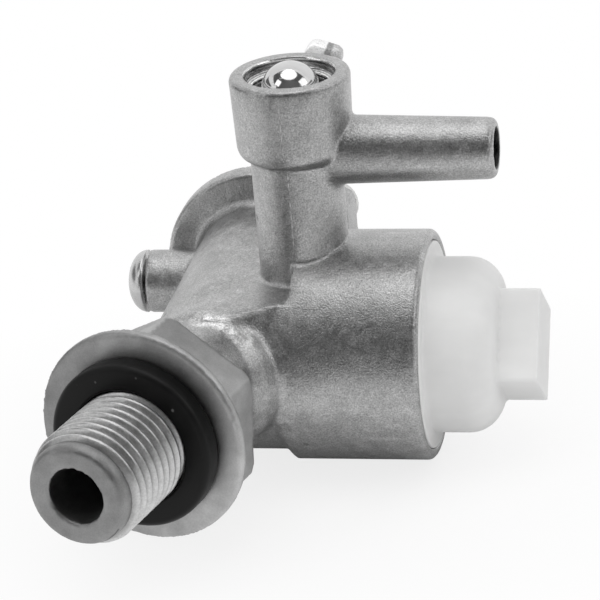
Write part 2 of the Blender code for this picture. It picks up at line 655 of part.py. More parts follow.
def make_lever():
    """Cast lever: a hub that covers the ports, with the arm and its rib and finger pad."""
    hub_profile = [
        (0, HUB_THICKNESS),
        (HUB_RADIUS - 0.2 * MM, HUB_THICKNESS),
        (HUB_RADIUS, HUB_THICKNESS - 0.2 * MM),
        (HUB_RADIUS, 0),
        (0, 0),
    ]
    lever = turned("lever", hub_profile, at_valve(0, HUB_Y, 0), BACK, FINE, CAST_ZINC)
    half_root = LEVER_ROOT_WIDTH / 2
    half_tip = LEVER_TIP_WIDTH / 2
    outline = [(half_root, 0)]
    outline += [(half_tip, LEVER_LENGTH - LEVER_CORNER)]
    outline += [(half_tip - LEVER_CORNER * 0.3, LEVER_LENGTH - LEVER_CORNER * 0.3)]
    outline += [(half_tip - LEVER_CORNER, LEVER_LENGTH)]
    outline += [(LEVER_CORNER - half_tip, LEVER_LENGTH)]
    outline += [(LEVER_CORNER * 0.3 - half_tip, LEVER_LENGTH - LEVER_CORNER * 0.3)]
    outline += [(-half_tip, LEVER_LENGTH - LEVER_CORNER)]
    outline += [(-half_root, 0)]
    arm = prism("Lever_arm", outline, LEVER_THICKNESS - 0.1 * MM, lever_frame(LEVER_FRONT_Y))
    join(lever, arm)
    rib_start = COVER_RADIUS + 2 * GAP
    rib_length = LEVER_LENGTH - rib_start - LEVER_RIB_WIDTH
    rib_outline = rounded_rectangle(
        LEVER_RIB_WIDTH,
        rib_length,
        0.4 * LEVER_RIB_WIDTH,
        (0, rib_start + rib_length / 2),
    )
    rib_depth = LEVER_THICKNESS / 2 + LEVER_RIB_HEIGHT
    rib = prism("Lever_rib", rib_outline, rib_depth, lever_frame(LEVER_BACK_Y - LEVER_THICKNESS / 2))
    join(lever, rib)

    middle = (INLET_PORT_ANGLE + OUTLET_PORT_ANGLE + math.tau) / 2
    groove_reach = PORT_CIRCLE * math.cos(middle - OUTLET_PORT_ANGLE)
    along = Vector((math.cos(middle), 0, math.sin(middle)))
    groove_length = 2 * PORT_CIRCLE * abs(math.sin(middle - OUTLET_PORT_ANGLE))
    groove_outline = rounded_rectangle(
        groove_length + HUB_GROOVE_WIDTH,
        HUB_GROOVE_WIDTH,
        0.45 * HUB_GROOVE_WIDTH,
    )
    groove_depth = HUB_GROOVE_DEPTH + MM
    groove_origin = at_valve(0, HUB_Y - MM, 0) + along * abs(groove_reach)
    groove = prism("Hub_groove", groove_outline, groove_depth, facing(BACK, groove_origin, along))
    cut(lever, groove)


def make_wave_washer():
    """Thin spring washer, waved round its ring, that presses the lever on its seal."""
    profile = [
        (WASHER_OUTER_RADIUS, WASHER_THICKNESS),
        (WASHER_OUTER_RADIUS, 0),
        (WASHER_INNER_RADIUS, 0),
        (WASHER_INNER_RADIUS, WASHER_THICKNESS),
    ]
    flat = turned("Flat_washer", profile, Vector(), UP, 36)
    bpy.context.view_layer.update()
    graph = bpy.context.evaluated_depsgraph_get()
    mesh = bpy.data.meshes.new_from_object(flat.evaluated_get(graph))
    bpy.data.objects.remove(flat, do_unlink=True)
    mesh.name = "wave_washer"
    for vertex in mesh.vertices:
        around = math.atan2(vertex.co.y, vertex.co.x)
        vertex.co.z += WASHER_WAVE * math.sin(WASHER_WAVES * around)
    washer = place(bpy.data.objects.new("wave_washer", mesh), finish=PLATED_STEEL)
    washer.matrix_world = facing(BACK, at_valve(0, WASHER_Y, 0))


def make_lever_cover():
    """Pressed steel cap over the hub, with a window for the arm and two feet under the screws."""
    height = COVER_ROOF_Y + COVER_WALL - COVER_FOOT_Y
    roof = COVER_ROOF_Y - COVER_FOOT_Y
    profile = [(0, height)]
    profile += quarter(COVER_RADIUS - COVER_WALL, height - COVER_WALL, COVER_WALL, 90, 0, 3)
    profile += [(COVER_RADIUS, 0), (COVER_INNER_RADIUS, 0), (COVER_INNER_RADIUS, roof), (0, roof)]
    cover = turned("lever_cover", profile, at_valve(0, COVER_FOOT_Y, 0), BACK, FINE, PLATED_STEEL)
    for side in (1, -1):
        centre = Vector((side * EAR_OFFSET_X, 0, side * EAR_OFFSET_Z))
        outward = centre.normalized()
        reach = centre.length
        foot_half = EAR_HALF - 0.1 * MM
        foot = []
        for step in range(13):
            angle = math.radians(180 * step / 12)
            foot.append((foot_half * math.cos(angle), reach + foot_half * math.sin(angle)))
        inner = (COVER_RADIUS + COVER_INNER_RADIUS) / 2
        foot += [(-foot_half * 0.8, inner * 0.9), (foot_half * 0.8, inner * 0.9)]
        name = "Foot_upper" if side > 0 else "Foot_lower"
        frame = facing(BACK, at_valve(0, COVER_FOOT_Y, 0), outward)
        join(cover, prism(name, foot, COVER_WALL, frame))
        hole_bottom = at_valve(centre.x, COVER_FOOT_Y - MM, centre.z)
        hole_top = at_valve(centre.x, COVER_FOOT_Y + COVER_WALL + MM, centre.z)
        hole_name = "Foot_hole_upper" if side > 0 else "Foot_hole_lower"
        cut(cover, rod(hole_name, SCREW_SHANK_RADIUS + GAP, hole_bottom, hole_top, 20))
    room = [(0, roof), (COVER_INNER_RADIUS, roof), (COVER_INNER_RADIUS, -MM), (0, -MM)]
    cut(cover, turned("Hub_room", room, at_valve(0, COVER_FOOT_Y, 0), BACK, FINE))

    arm_half_angle = math.asin((LEVER_ROOT_WIDTH / 2 + 2 * GAP) / COVER_INNER_RADIUS)
    first = LEVER_LEAN + arm_half_angle
    last = LEVER_LEAN - LEVER_SWING - arm_half_angle
    window = [(0, 0)]
    for step in range(17):
        angle = first + (last - first) * step / 16
        window.append((-2 * COVER_RADIUS * math.sin(angle), 2 * COVER_RADIUS * math.cos(angle)))
    window_depth = LEVER_BACK_Y + GAP - COVER_FOOT_Y + MM
    cut(cover, prism("Arm_window", window, window_depth, facing(BACK, at_valve(0, COVER_FOOT_Y - MM, 0))))


def make_cover_screws():
    """Two pan-head screws that hold the cover on the ears."""
    for side, name in ((1, "cover_screw_upper"), (-1, "cover_screw_lower")):
        head_y = COVER_FOOT_Y + COVER_WALL + GAP
        base = at_valve(side * EAR_OFFSET_X, head_y, side * EAR_OFFSET_Z)
        shank_end = VALVE_FACE_Y - SCREW_LENGTH + GAP - head_y
        profile = [(0, SCREW_HEAD_HEIGHT)]
        for step in range(1, 6):
            angle = math.radians(90 - 80 * step / 5)
            rise = SCREW_HEAD_HEIGHT * (0.45 + 0.55 * math.sin(angle))
            profile.append((SCREW_HEAD_RADIUS * math.cos(angle) / math.cos(math.radians(10)), rise))
        profile += [(SCREW_HEAD_RADIUS, 0), (SCREW_SHANK_RADIUS, 0), (SCREW_SHANK_RADIUS, shank_end)]
        profile += [(0, shank_end)]
        screw = turned(name, profile, base, BACK, COARSE, PLATED_STEEL)
        slot_length = 1.5 * SCREW_HEAD_RADIUS
        for turn, slot in enumerate(("Slot_", "Cross_slot_")):
            width = slot_length if turn else SCREW_SLOT_WIDTH
            height = SCREW_SLOT_WIDTH if turn else slot_length
            outline = rounded_rectangle(width, height, 0.2 * SCREW_SLOT_WIDTH)
            floor = base + BACK * (SCREW_HEAD_HEIGHT - SCREW_SLOT_DEPTH)
            cutter = prism(slot + name, outline, SCREW_SLOT_DEPTH + MM, facing(BACK, floor))
            cut(screw, cutter)


def make_bowl():
    """Moulded nylon sediment bowl: threaded skirt, dome and square key, hollow inside."""
    dome_end = CHAMBER_MOUTH_X + BOWL_DOME_LENGTH
    nose_radius = BOWL_DOME_RADIUS - BOWL_ROUNDING
    outer = [(0, dome_end)]
    outer += quarter(nose_radius, dome_end - BOWL_ROUNDING, BOWL_ROUNDING, 90, 0, 6)
    outer += [
        (BOWL_DOME_RADIUS, CHAMBER_MOUTH_X),
        (BOWL_SKIRT_RADIUS, CHAMBER_MOUTH_X),
        (BOWL_SKIRT_RADIUS, BOWL_SKIRT_X),
        (0, BOWL_SKIRT_X),
    ]
    bowl = turned("sediment_bowl", outer, CHAMBER_CENTRE, RIGHT, FINE, WHITE_NYLON)
    key_outline = rounded_rectangle(KEY_LONG_SIDE, KEY_SHORT_SIDE, KEY_CORNER)
    key_base = CHAMBER_CENTRE + RIGHT * (dome_end - BOWL_WALL / 2)
    key_up = Vector((0, -math.sin(KEY_TURN), math.cos(KEY_TURN)))
    key = prism("Key", key_outline, KEY_LENGTH + BOWL_WALL / 2, facing(RIGHT, key_base, key_up))
    join(bowl, key)
    hollow_end = dome_end - BOWL_WALL
    hollow_radius = BOWL_DOME_RADIUS - BOWL_WALL
    hollow = [(0, hollow_end)]
    rounding = BOWL_ROUNDING - BOWL_WALL / 2
    hollow += quarter(hollow_radius - rounding, hollow_end - rounding, rounding, 90, 0, 4)
    hollow += [(hollow_radius, BOWL_SKIRT_X - MM), (0, BOWL_SKIRT_X - MM)]
    cut(bowl, turned("Bowl_hollow", hollow, CHAMBER_CENTRE, RIGHT, MEDIUM))


def make_bowl_seal():
    """Rubber ring between the bowl's skirt and the shoulder in the chamber."""
    centre = (SHOULDER_X + BOWL_SKIRT_X) / 2
    profile = quarter(RING_RADIUS, centre, RING_CORD_RADIUS, 90, -270, 8)[:-1]
    turned("bowl_seal", profile, CHAMBER_CENTRE, RIGHT, MEDIUM, BLACK_RUBBER)


def make_strainer():
    """Moulded cage with ribs and a closed end, and the gauze sleeve that it carries."""
    flange_radius = CAVITY_RADIUS - GAP
    start_x = SHOULDER_X - STRAINER_FLANGE_THICKNESS
    end_x = start_x + STRAINER_LENGTH
    mesh_radius = STRAINER_RADIUS - STRAINER_RIB_DEPTH - GAP
    throat = mesh_radius - MESH_WALL - GAP
    profile = [
        (flange_radius, SHOULDER_X),
        (flange_radius, start_x),
        (throat, start_x),
        (throat, SHOULDER_X),
    ]
    cage = turned("strainer_cage", profile, CHAMBER_CENTRE, RIGHT, MEDIUM, WHITE_NYLON)
    end_profile = [
        (0, end_x),
        (STRAINER_RADIUS - 0.3 * MM, end_x),
        (STRAINER_RADIUS, end_x - 0.3 * MM),
        (STRAINER_RADIUS, end_x - STRAINER_FLANGE_THICKNESS),
        (0, end_x - STRAINER_FLANGE_THICKNESS),
    ]
    join(cage, turned("Cage_end", end_profile, CHAMBER_CENTRE, RIGHT, MEDIUM))
    rib_centre = STRAINER_RADIUS - STRAINER_RIB_DEPTH / 2
    rib_start = start_x + STRAINER_FLANGE_THICKNESS / 2
    rib_length = end_x - STRAINER_FLANGE_THICKNESS / 2 - rib_start
    for rib in range(STRAINER_RIBS):
        angle = math.tau * (rib + 0.5) / STRAINER_RIBS
        outward = Vector((0, math.cos(angle), math.sin(angle)))
        outline = rounded_rectangle(
            STRAINER_RIB_WIDTH,
            STRAINER_RIB_DEPTH,
            0.2 * STRAINER_RIB_DEPTH,
            (0, rib_centre),
            2,
        )
        frame = facing(RIGHT, CHAMBER_CENTRE + RIGHT * rib_start, outward)
        join(cage, prism("Cage_rib_%d" % rib, outline, rib_length, frame))

    gauze_start = SHOULDER_X + GAP
    gauze_end = end_x - STRAINER_FLANGE_THICKNESS - GAP
    gauze = [
        (mesh_radius, gauze_end),
        (mesh_radius, gauze_start),
        (mesh_radius - MESH_WALL, gauze_start),
        (mesh_radius - MESH_WALL, gauze_end),
    ]
    turned("strainer_gauze", gauze, CHAMBER_CENTRE, RIGHT, MEDIUM, GAUZE)


make_casting()
make_tank_seal()
make_gallery_ball()
make_cross_plug()
make_valve_seal()
make_lever()
make_wave_washer()
make_lever_cover()
make_cover_screws()
make_bowl()
make_bowl_seal()
make_strainer()
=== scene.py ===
import math

import bmesh
import bpy
import numpy as np
from mathutils import Matrix, Quaternion, Vector, noise
from mathutils.bvhtree import BVHTree


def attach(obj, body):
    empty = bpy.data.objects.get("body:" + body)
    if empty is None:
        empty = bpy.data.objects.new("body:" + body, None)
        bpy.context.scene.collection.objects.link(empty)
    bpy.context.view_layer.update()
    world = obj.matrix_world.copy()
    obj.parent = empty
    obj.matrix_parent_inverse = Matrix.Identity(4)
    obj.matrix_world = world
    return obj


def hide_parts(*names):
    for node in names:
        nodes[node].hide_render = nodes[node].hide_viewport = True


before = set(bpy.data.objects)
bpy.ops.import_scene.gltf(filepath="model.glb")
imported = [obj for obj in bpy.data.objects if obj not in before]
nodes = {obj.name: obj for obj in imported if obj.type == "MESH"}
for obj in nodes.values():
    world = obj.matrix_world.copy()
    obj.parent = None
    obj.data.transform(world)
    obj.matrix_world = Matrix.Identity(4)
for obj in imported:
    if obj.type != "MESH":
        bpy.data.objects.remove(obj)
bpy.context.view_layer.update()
MM = 0.001


# Camera and studio. The camera stands above and to the right of the stud, with a long lens. The tap lies
# on a white table under a wide round soft box, with a smaller soft box to either side.

CAMERA_PLACE = (0.06813, -0.24303, 0.11955)
AIM = (0.008, 0.018, 0.003)
azimuth = math.radians(12.49)
elevation = math.radians(23.31)
roll = math.radians(-4.94)
camera_data = bpy.data.cameras.new("Camera")
camera_data.lens = 203.9
camera_data.sensor_width = 36
camera_data.clip_start = 0.01
camera_data.clip_end = 20
camera = bpy.data.objects.new("Camera", camera_data)
bpy.context.scene.collection.objects.link(camera)
camera.location = CAMERA_PLACE
camera.rotation_mode = "QUATERNION"
level = Quaternion((0, 0, 1), azimuth) @ Quaternion((1, 0, 0), math.pi / 2 - elevation)
camera.rotation_quaternion = level @ Quaternion((0, 0, 1), roll)
bpy.context.scene.camera = camera
bpy.context.scene.view_settings.view_transform = "Standard"


def add_node(tree, kind, inputs=(), **settings):
    """Adds a shader node, sets its plain settings, and fills or links the inputs given by name."""
    node = tree.nodes.new(kind)
    for key, value in settings.items():
        setattr(node, key, value)
    for key, value in dict(inputs).items():
        if isinstance(value, bpy.types.NodeSocket):
            tree.links.new(value, node.inputs[key])
        else:
            node.inputs[key].default_value = value
    return node


def product(tree, first, second, operation="MULTIPLY"):
    """Two numbers or sockets multiplied, or joined by another operation."""
    return add_node(tree, "ShaderNodeMath", {0: first, 1: second}, operation=operation).outputs[0]


def mix_shaders(tree, share, first, second):
    """A mix of two shaders, by the share of the second."""
    inputs = {0: share, 1: first.outputs[0], 2: second.outputs[0]}
    return add_node(tree, "ShaderNodeMixShader", inputs).outputs[0]


def background_rays(tree):
    """One for the rays that see the background: the camera's, and those of metal and nylon."""
    rays = add_node(tree, "ShaderNodeLightPath").outputs
    seen = product(tree, rays["Is Camera Ray"], rays["Is Glossy Ray"], "MAXIMUM")
    return product(tree, seen, rays["Is Transmission Ray"], "MAXIMUM")


world = bpy.data.worlds.new("Studio")
world.use_nodes = True
bpy.context.scene.world = world
tree = world.node_tree
tree.nodes.clear()
room = add_node(tree, "ShaderNodeBackground", {"Color": (1, 1, 1, 1), "Strength": 0.6})
paper = add_node(tree, "ShaderNodeBackground", {"Color": (1, 1, 1, 1), "Strength": 1.0})
add_node(tree, "ShaderNodeOutputWorld", {"Surface": mix_shaders(tree, background_rays(tree), room, paper)})


def soft_box(name, place, size, power, shape="RECTANGLE"):
    """A soft box that faces the tap."""
    data = bpy.data.lights.new(name, "AREA")
    data.shape = shape
    data.size, data.size_y = size
    data.energy = power
    box = bpy.data.objects.new(name, data)
    bpy.context.scene.collection.objects.link(box)
    box.location = place
    box.rotation_mode = "QUATERNION"
    box.rotation_quaternion = (Vector(AIM) - Vector(place)).to_track_quat("-Z", "Y")


soft_box("top_soft_box", (0.0, -0.03, 0.56), (0.54, 0.46), 0.95, "ELLIPSE")
soft_box("left_soft_box", (-0.283, -0.207, 0.332), (0.17, 0.17), 0.14)
soft_box("right_soft_box", (0.393, -0.062, 0.302), (0.24, 0.19), 0.2)

# The table is white paper. It keeps the tap's shadow, which is strongest close under the tap, where the
# table's glow is also turned down as painted shade.
TABLE_Z = -0.01105
UNDER_TAP = (0.01, 0.015)
table_mesh = bpy.data.meshes.new("table")
sheet = bmesh.new()
bmesh.ops.create_grid(sheet, x_segments=2, y_segments=2, size=3)
bmesh.ops.translate(sheet, vec=(0, 0, TABLE_Z), verts=sheet.verts)
sheet.to_mesh(table_mesh)
sheet.free()
table = bpy.data.objects.new("table", table_mesh)
bpy.context.scene.collection.objects.link(table)
table_paint = bpy.data.materials.new("white_table")
table_paint.use_nodes = True
tree = table_paint.node_tree
tree.nodes.clear()
where = add_node(tree, "ShaderNodeTexCoord")
away = add_node(
    tree, "ShaderNodeVectorMath", {0: where.outputs["Object"], 1: (*UNDER_TAP, TABLE_Z)}, operation="DISTANCE"
).outputs["Value"]
# Painted shade: the table's glow falls from 1.0 to 0.8 close under the tap.
fade = add_node(
    tree,
    "ShaderNodeMapRange",
    {"Value": away, "From Min": 0.010, "From Max": 0.045, "To Min": 0.8, "To Max": 1.0},
)
matt = add_node(tree, "ShaderNodeBsdfDiffuse", {"Color": (0.9, 0.9, 0.9, 1)})
glow = add_node(tree, "ShaderNodeEmission", {"Color": (1, 1, 1, 1), "Strength": 1.0})
share = product(tree, fade.outputs["Result"], background_rays(tree))
add_node(tree, "ShaderNodeOutputMaterial", {"Surface": mix_shaders(tree, share, matt, glow)})
table.data.materials.append(table_paint)


def flag(name, place, size, cloth, target=AIM):
    """A card that the metal mirrors, and that the camera never sees."""
    mesh = bpy.data.meshes.new(name)
    card = bmesh.new()
    bmesh.ops.create_grid(card, x_segments=1, y_segments=1, size=0.5)
    bmesh.ops.scale(card, vec=(size[0], size[1], 1), verts=card.verts)
    turn = (Vector(target) - Vector(place)).to_track_quat("-Z", "Y").to_matrix()
    bmesh.ops.rotate(card, matrix=turn, verts=card.verts)
    bmesh.ops.translate(card, vec=place, verts=card.verts)
    card.to_mesh(mesh)
    card.free()
    card_object = bpy.data.objects.new(name, mesh)
    bpy.context.scene.collection.objects.link(card_object)
    card_object.data.materials.append(cloth)
    card_object.visible_camera = False
    card_object.visible_diffuse = False
    card_object.visible_shadow = False


def flag_cloth(name, tone, glow=0.0):
    """Plain cloth of one tone, with a painted glow of the given strength that stands in for light from
    behind.
    """
    cloth = bpy.data.materials.new(name)
    cloth.use_nodes = True
    shader = cloth.node_tree.nodes["Principled BSDF"]
    shader.inputs["Base Color"].default_value = (tone, tone, tone, 1)
    shader.inputs["Roughness"].default_value = 1.0
    shader.inputs["Emission Color"].default_value = (1, 1, 1, 1)
    shader.inputs["Emission Strength"].default_value = glow
    return cloth


dark_cloth = flag_cloth("dark_cloth", 0.17)
grey_cloth = flag_cloth("grey_cloth", 0.5)
# The pale cloth glows a little: painted light for the back card that the metal mirrors.
pale_cloth = flag_cloth("pale_cloth", 0.85, 0.4)
white_cloth = flag_cloth("white_cloth", 0.9)
flag("front_flag", (0.10, -0.43, 0.27), (1.5, 0.60), dark_cloth)
flag("left_flag", (-0.62, 0.10, 0.12), (0.5, 0.30), dark_cloth)
flag("right_flag", (0.62, 0.10, 0.12), (0.5, 0.24), dark_cloth)
flag("ceiling_flag", (0.0, -0.16, 0.68), (1.8, 0.76), dark_cloth)
flag("back_flag", (0.0, 0.58, 0.36), (1.9, 0.95), pale_cloth)
flag("under_flag", (0.012, 0.04, TABLE_Z + 0.00005), (0.09, 0.07), white_cloth, (0.012, 0.04, 0.5))
flag("table_flag", (0.02, -0.28, TABLE_Z + 0.00055), (1.0, 0.46), grey_cloth, (0.02, -0.28, 0.5))


# Tap casting. One die casting of zinc alloy, as it left the die: grainy skin, softly rounded inner
# corners, and a smoother hexagon and flange, which were dressed after casting.

VALVE_X = 3.3 * MM
VALVE_Z = -0.15 * MM
BODY_RADIUS = 6.1 * MM
BODY_START_Y = 16.0 * MM
VALVE_FLANGE_Y = 36.0 * MM
VALVE_FLANGE_RADIUS = 9.05 * MM
STUB_X = -6.5 * MM
STUB_Y = 32.5 * MM
STUB_RADIUS = 2.84 * MM
CHAMBER_Y = 20.73 * MM
CHAMBER_Z = -1.0 * MM
CHAMBER_RADIUS = 9.98 * MM
MOUTH_X = 21.34 * MM
MOUTH_RADIUS = 9.05 * MM
COLUMN_X = 10.46 * MM
COLUMN_RADIUS = 3.9 * MM
COLUMN_FOOT_Z = 7.5 * MM
CUP_FOOT_Z = 17.9 * MM
CUP_FLOOR_Z = 21.0 * MM
SPIGOT_Z = 17.12 * MM
STUD_TILT = math.radians(14.7)
STUD_AXIS = Vector((-math.sin(STUD_TILT), -math.cos(STUD_TILT), 0))
STUD_END = 10.6 * MM
CORE_RADIUS = 4.42 * MM
FLANGE_RADIUS = 9.28 * MM
FLANGE_THICKNESS = 1.0 * MM
HEX_BACK = 5.8 * MM
NECK_RADIUS = 5.4 * MM
SKIN_VOXEL = 0.2 * MM
MOST_SKIN_TRIANGLES = 190000

# Painted highlights on the neck's top, round these places, in millimetres.
NECK_HIGHLIGHT_SPOTS = ((3.3, 11.2, 5.4), (5.1, 10.7, 5.0), (6.8, 10.4, 4.2))


def ramp(tree, value, low, high, start, end, smooth=False):
    """Maps a value between two levels onto two others, held at the ends."""
    ranged = add_node(
        tree,
        "ShaderNodeMapRange",
        {"Value": value, "From Min": low, "From Max": high, "To Min": start, "To Max": end},
        interpolation_type="SMOOTHSTEP" if smooth else "LINEAR",
    )
    return ranged.outputs["Result"]


def blend(tree, share, first, second):
    """A mix of two plain numbers or sockets, by the share of the second."""
    mixer = tree.nodes.new("ShaderNodeMix")
    mixer.data_type = "FLOAT"
    for name, value in (("Factor", share), ("A", first), ("B", second)):
        socket = mixer.inputs[name]
        if isinstance(value, bpy.types.NodeSocket):
            tree.links.new(value, socket)
        else:
            socket.default_value = value
    return mixer.outputs["Result"]


def measure(tree, operation, first, second=(0, 0, 0)):
    """A number from two vectors: their DOT_PRODUCT or their DISTANCE."""
    inputs = {0: first, 1: tuple(second) if isinstance(second, Vector) else second}
    return add_node(tree, "ShaderNodeVectorMath", inputs, operation=operation).outputs["Value"]


def new_material(name, metallic, roughness):
    """A Principled material, with its node tree, its shader and the socket of Object coordinates."""
    made = bpy.data.materials.new(name)
    made.use_nodes = True
    tree = made.node_tree
    shader = tree.nodes["Principled BSDF"]
    shader.inputs["Metallic"].default_value = metallic
    shader.inputs["Roughness"].default_value = roughness
    where = add_node(tree, "ShaderNodeTexCoord").outputs["Object"]
    return made, tree, shader, where


def noise_at(tree, where, scale, detail=3.0, roughness=0.6):
    inputs = {"Vector": where, "Scale": scale, "Detail": detail, "Roughness": roughness}
    return add_node(tree, "ShaderNodeTexNoise", inputs).outputs["Fac"]


def bumps(tree, shader, layers):
    """Stacks bump maps, each given as height, strength and depth in metres."""
    last = None
    for height, strength, depth in layers:
        inputs = {"Height": height, "Strength": strength, "Distance": depth}
        if last is not None:
            inputs["Normal"] = last
        last = add_node(tree, "ShaderNodeBump", inputs).outputs[0]
    tree.links.new(last, shader.inputs["Normal"])


def grey(tree, shader, tone, tint=(1.0, 1.0, 1.0)):
    """Writes a brightness socket into the shader's colour, with a faint tint."""
    colour = add_node(tree, "ShaderNodeVectorMath", {0: tint, "Scale": tone}, operation="SCALE")
    tree.links.new(colour.outputs[0], shader.inputs["Base Color"])


def dress_casting(tree, where, patterns, bright, rough):
    """The casting's own places: satin flange and hexagon with painted side shade, a painted highlight on the
    neck, the spigot's bore painted dark as shade, and the turned cup with rings painted in as reflections.
    """
    cloud, patch, fleck = patterns
    parts = add_node(tree, "ShaderNodeSeparateXYZ", {0: where}).outputs
    along = measure(tree, "DOT_PRODUCT", where, STUD_AXIS)

    satin = ramp(tree, along, -HEX_BACK - 0.3 * MM, -HEX_BACK + 0.05 * MM, 0.0, 1.0)
    soft_cloud = ramp(tree, noise_at(tree, where, 520.0, 4.0, 0.55), 0.3, 0.7, 0.55, 0.72)
    end_face = ramp(tree, along, STUD_END - 1.1 * MM, STUD_END - 0.1 * MM, 1.2, 1.05)
    on_stud = ramp(tree, along, 2.0 * MM, 3.0 * MM, 0.0, 1.0)
    # Painted shade: the flange and hexagon are painted darker to the left and lighter to the right.
    painted_side_shade = blend(tree, on_stud, ramp(tree, parts["X"], -9.0 * MM, 7.0 * MM, 0.8, 1.45), 1.0)
    satin_tone = product(tree, product(tree, soft_cloud, end_face), ramp(tree, fleck, 0.3, 0.7, 0.94, 1.06))
    bright = blend(tree, satin, bright, product(tree, satin_tone, painted_side_shade))
    rough = blend(tree, satin, rough, ramp(tree, cloud, 0.3, 0.7, 0.42, 0.54))
    depth_share = blend(tree, satin, 1.0, 0.16)

    # Painted highlight: the neck is painted up to 1.75 times brighter round each spot.
    for place in NECK_HIGHLIGHT_SPOTS:
        near = ramp(tree, measure(tree, "DISTANCE", where, Vector(place) * MM), 0.7 * MM, 1.4 * MM, 1.0, 0.0)
        painted_light = product(tree, near, ramp(tree, patch, 0.35, 0.6, 0.2, 1.0))
        bright = product(tree, bright, ramp(tree, painted_light, 0.0, 1.0, 1.0, 1.75))

    # Painted shade: the spigot's bore is painted nearly black.
    on_axis = {"Vector": where, "Location": (0, -CHAMBER_Y, -SPIGOT_Z), "Scale": (0, 1, 1)}
    from_spigot = measure(tree, "DISTANCE", add_node(tree, "ShaderNodeMapping", on_axis).outputs[0])
    past_column = ramp(tree, parts["X"], 17.0 * MM, 18.0 * MM, 0.0, 1.0)
    spigot_bore_painted_shade = product(tree, ramp(tree, from_spigot, 1.8 * MM, 1.86 * MM, 1.0, 0.0), past_column)
    bright = product(tree, bright, ramp(tree, spigot_bore_painted_shade, 0.0, 1.0, 1.0, 0.08))

    on_axis = {"Vector": where, "Location": (-COLUMN_X, -CHAMBER_Y, 0), "Scale": (1, 1, 0)}
    from_column = measure(tree, "DISTANCE", add_node(tree, "ShaderNodeMapping", on_axis).outputs[0])
    above_floor = ramp(tree, parts["Z"], CUP_FLOOR_Z, CUP_FLOOR_Z + 0.2 * MM, 0.0, 1.0)
    in_cup = product(tree, ramp(tree, from_column, 3.9 * MM, 4.0 * MM, 1.0, 0.0), above_floor)
    # The cup's bore is turned smoother, with rings painted bright and dark as reflections.
    turned = add_node(tree, "ShaderNodeCombineXYZ", {0: from_column, 2: parts["Z"]}).outputs[0]
    painted_ring_reflections = noise_at(tree, turned, 5200.0, 1.0)
    bright = blend(tree, in_cup, bright, ramp(tree, painted_ring_reflections, 0.38, 0.62, 0.5, 2.1))
    rough = blend(tree, in_cup, rough, 0.24)
    depth_share = product(tree, depth_share, ramp(tree, in_cup, 0.0, 1.0, 1.0, 0.1))
    return bright, rough, depth_share


def cast_metal(name, tone, grain=1.0, dressed=False):
    """Grey cast zinc: fine grain, a few crystal cells painted brighter as glints, clouds, small pits, and
    convex edges painted lighter, as wear and as a painted edge highlight.
    """
    made, tree, shader, where = new_material(name, 1.0, 0.36)
    cloud = noise_at(tree, where, 330.0, 5.0, 0.62)
    patch = noise_at(tree, where, 1300.0, 4.0, 0.65)
    fleck = noise_at(tree, where, 7500.0, 1.0, 0.5)
    crystals = add_node(tree, "ShaderNodeTexVoronoi", {"Vector": where, "Scale": 9000.0})
    facet = add_node(tree, "ShaderNodeSeparateXYZ", {0: crystals.outputs["Color"]}).outputs["X"]
    bright = product(tree, ramp(tree, cloud, 0.3, 0.7, 0.86, 1.1), ramp(tree, patch, 0.3, 0.7, 0.84, 1.14))
    bright = product(tree, bright, ramp(tree, fleck, 0.3, 0.7, 0.74, 1.26))
    # Painted glints: a few crystal cells are painted up to a quarter brighter.
    bright = product(tree, bright, ramp(tree, facet, 0.93, 1.0, 1.0, 1.0 + 0.25 * grain))
    cells = add_node(tree, "ShaderNodeTexVoronoi", {"Vector": where, "Scale": 520.0})
    pit = ramp(tree, cells.outputs["Distance"], 0.06, 0.2, 1.0, 0.0)
    pit = product(tree, pit, ramp(tree, noise_at(tree, where, 240.0, 2.0), 0.6, 0.66, 0.0, 1.0))
    edge = add_node(tree, "ShaderNodeNewGeometry").outputs["Pointiness"]
    bright = product(tree, bright, ramp(tree, pit, 0.0, 1.0, 1.0, 0.45))
    # Convex edges painted lighter: wear, and a painted edge highlight.
    bright = product(tree, bright, ramp(tree, edge, 0.53, 0.62, 0.0, 0.22), "ADD")
    rough = ramp(tree, patch, 0.3, 0.7, 0.3, 0.46)
    depth_share = 1.0
    if dressed:
        patterns = (cloud, patch, fleck)
        bright, rough, depth_share = dress_casting(tree, where, patterns, bright, rough)
    grey(tree, shader, product(tree, bright, tone))
    tree.links.new(rough, shader.inputs["Roughness"])
    patch_bump = (product(tree, patch, depth_share), 0.6 * grain, 0.00005)
    fleck_bump = (product(tree, fleck, depth_share), 0.9 * grain, 0.00003)
    pit_bump = (product(tree, product(tree, pit, depth_share), -1.0), 0.9, 0.00012)
    bumps(tree, shader, (patch_bump, fleck_bump, pit_bump))
    return made


casting_zinc = cast_metal("casting_zinc", 0.46, dressed=True)


def copy_of(node, name):
    """A welded copy of a CAD piece's mesh as a new object, ready to be dressed."""
    mesh = nodes[node].data.copy()
    mesh.name = name
    welded = bmesh.new()
    welded.from_mesh(mesh)
    bmesh.ops.remove_doubles(welded, verts=welded.verts, dist=0.000002)
    welded.to_mesh(mesh)
    welded.free()
    obj = bpy.data.objects.new(name, mesh)
    bpy.context.scene.collection.objects.link(obj)
    return obj


def apply_modifiers(obj):
    bpy.context.view_layer.update()
    graph = bpy.context.evaluated_depsgraph_get()
    settled = bpy.data.meshes.new_from_object(obj.evaluated_get(graph))
    settled.name = obj.name
    obj.modifiers.clear()
    obj.vertex_groups.clear()
    obj.data = settled


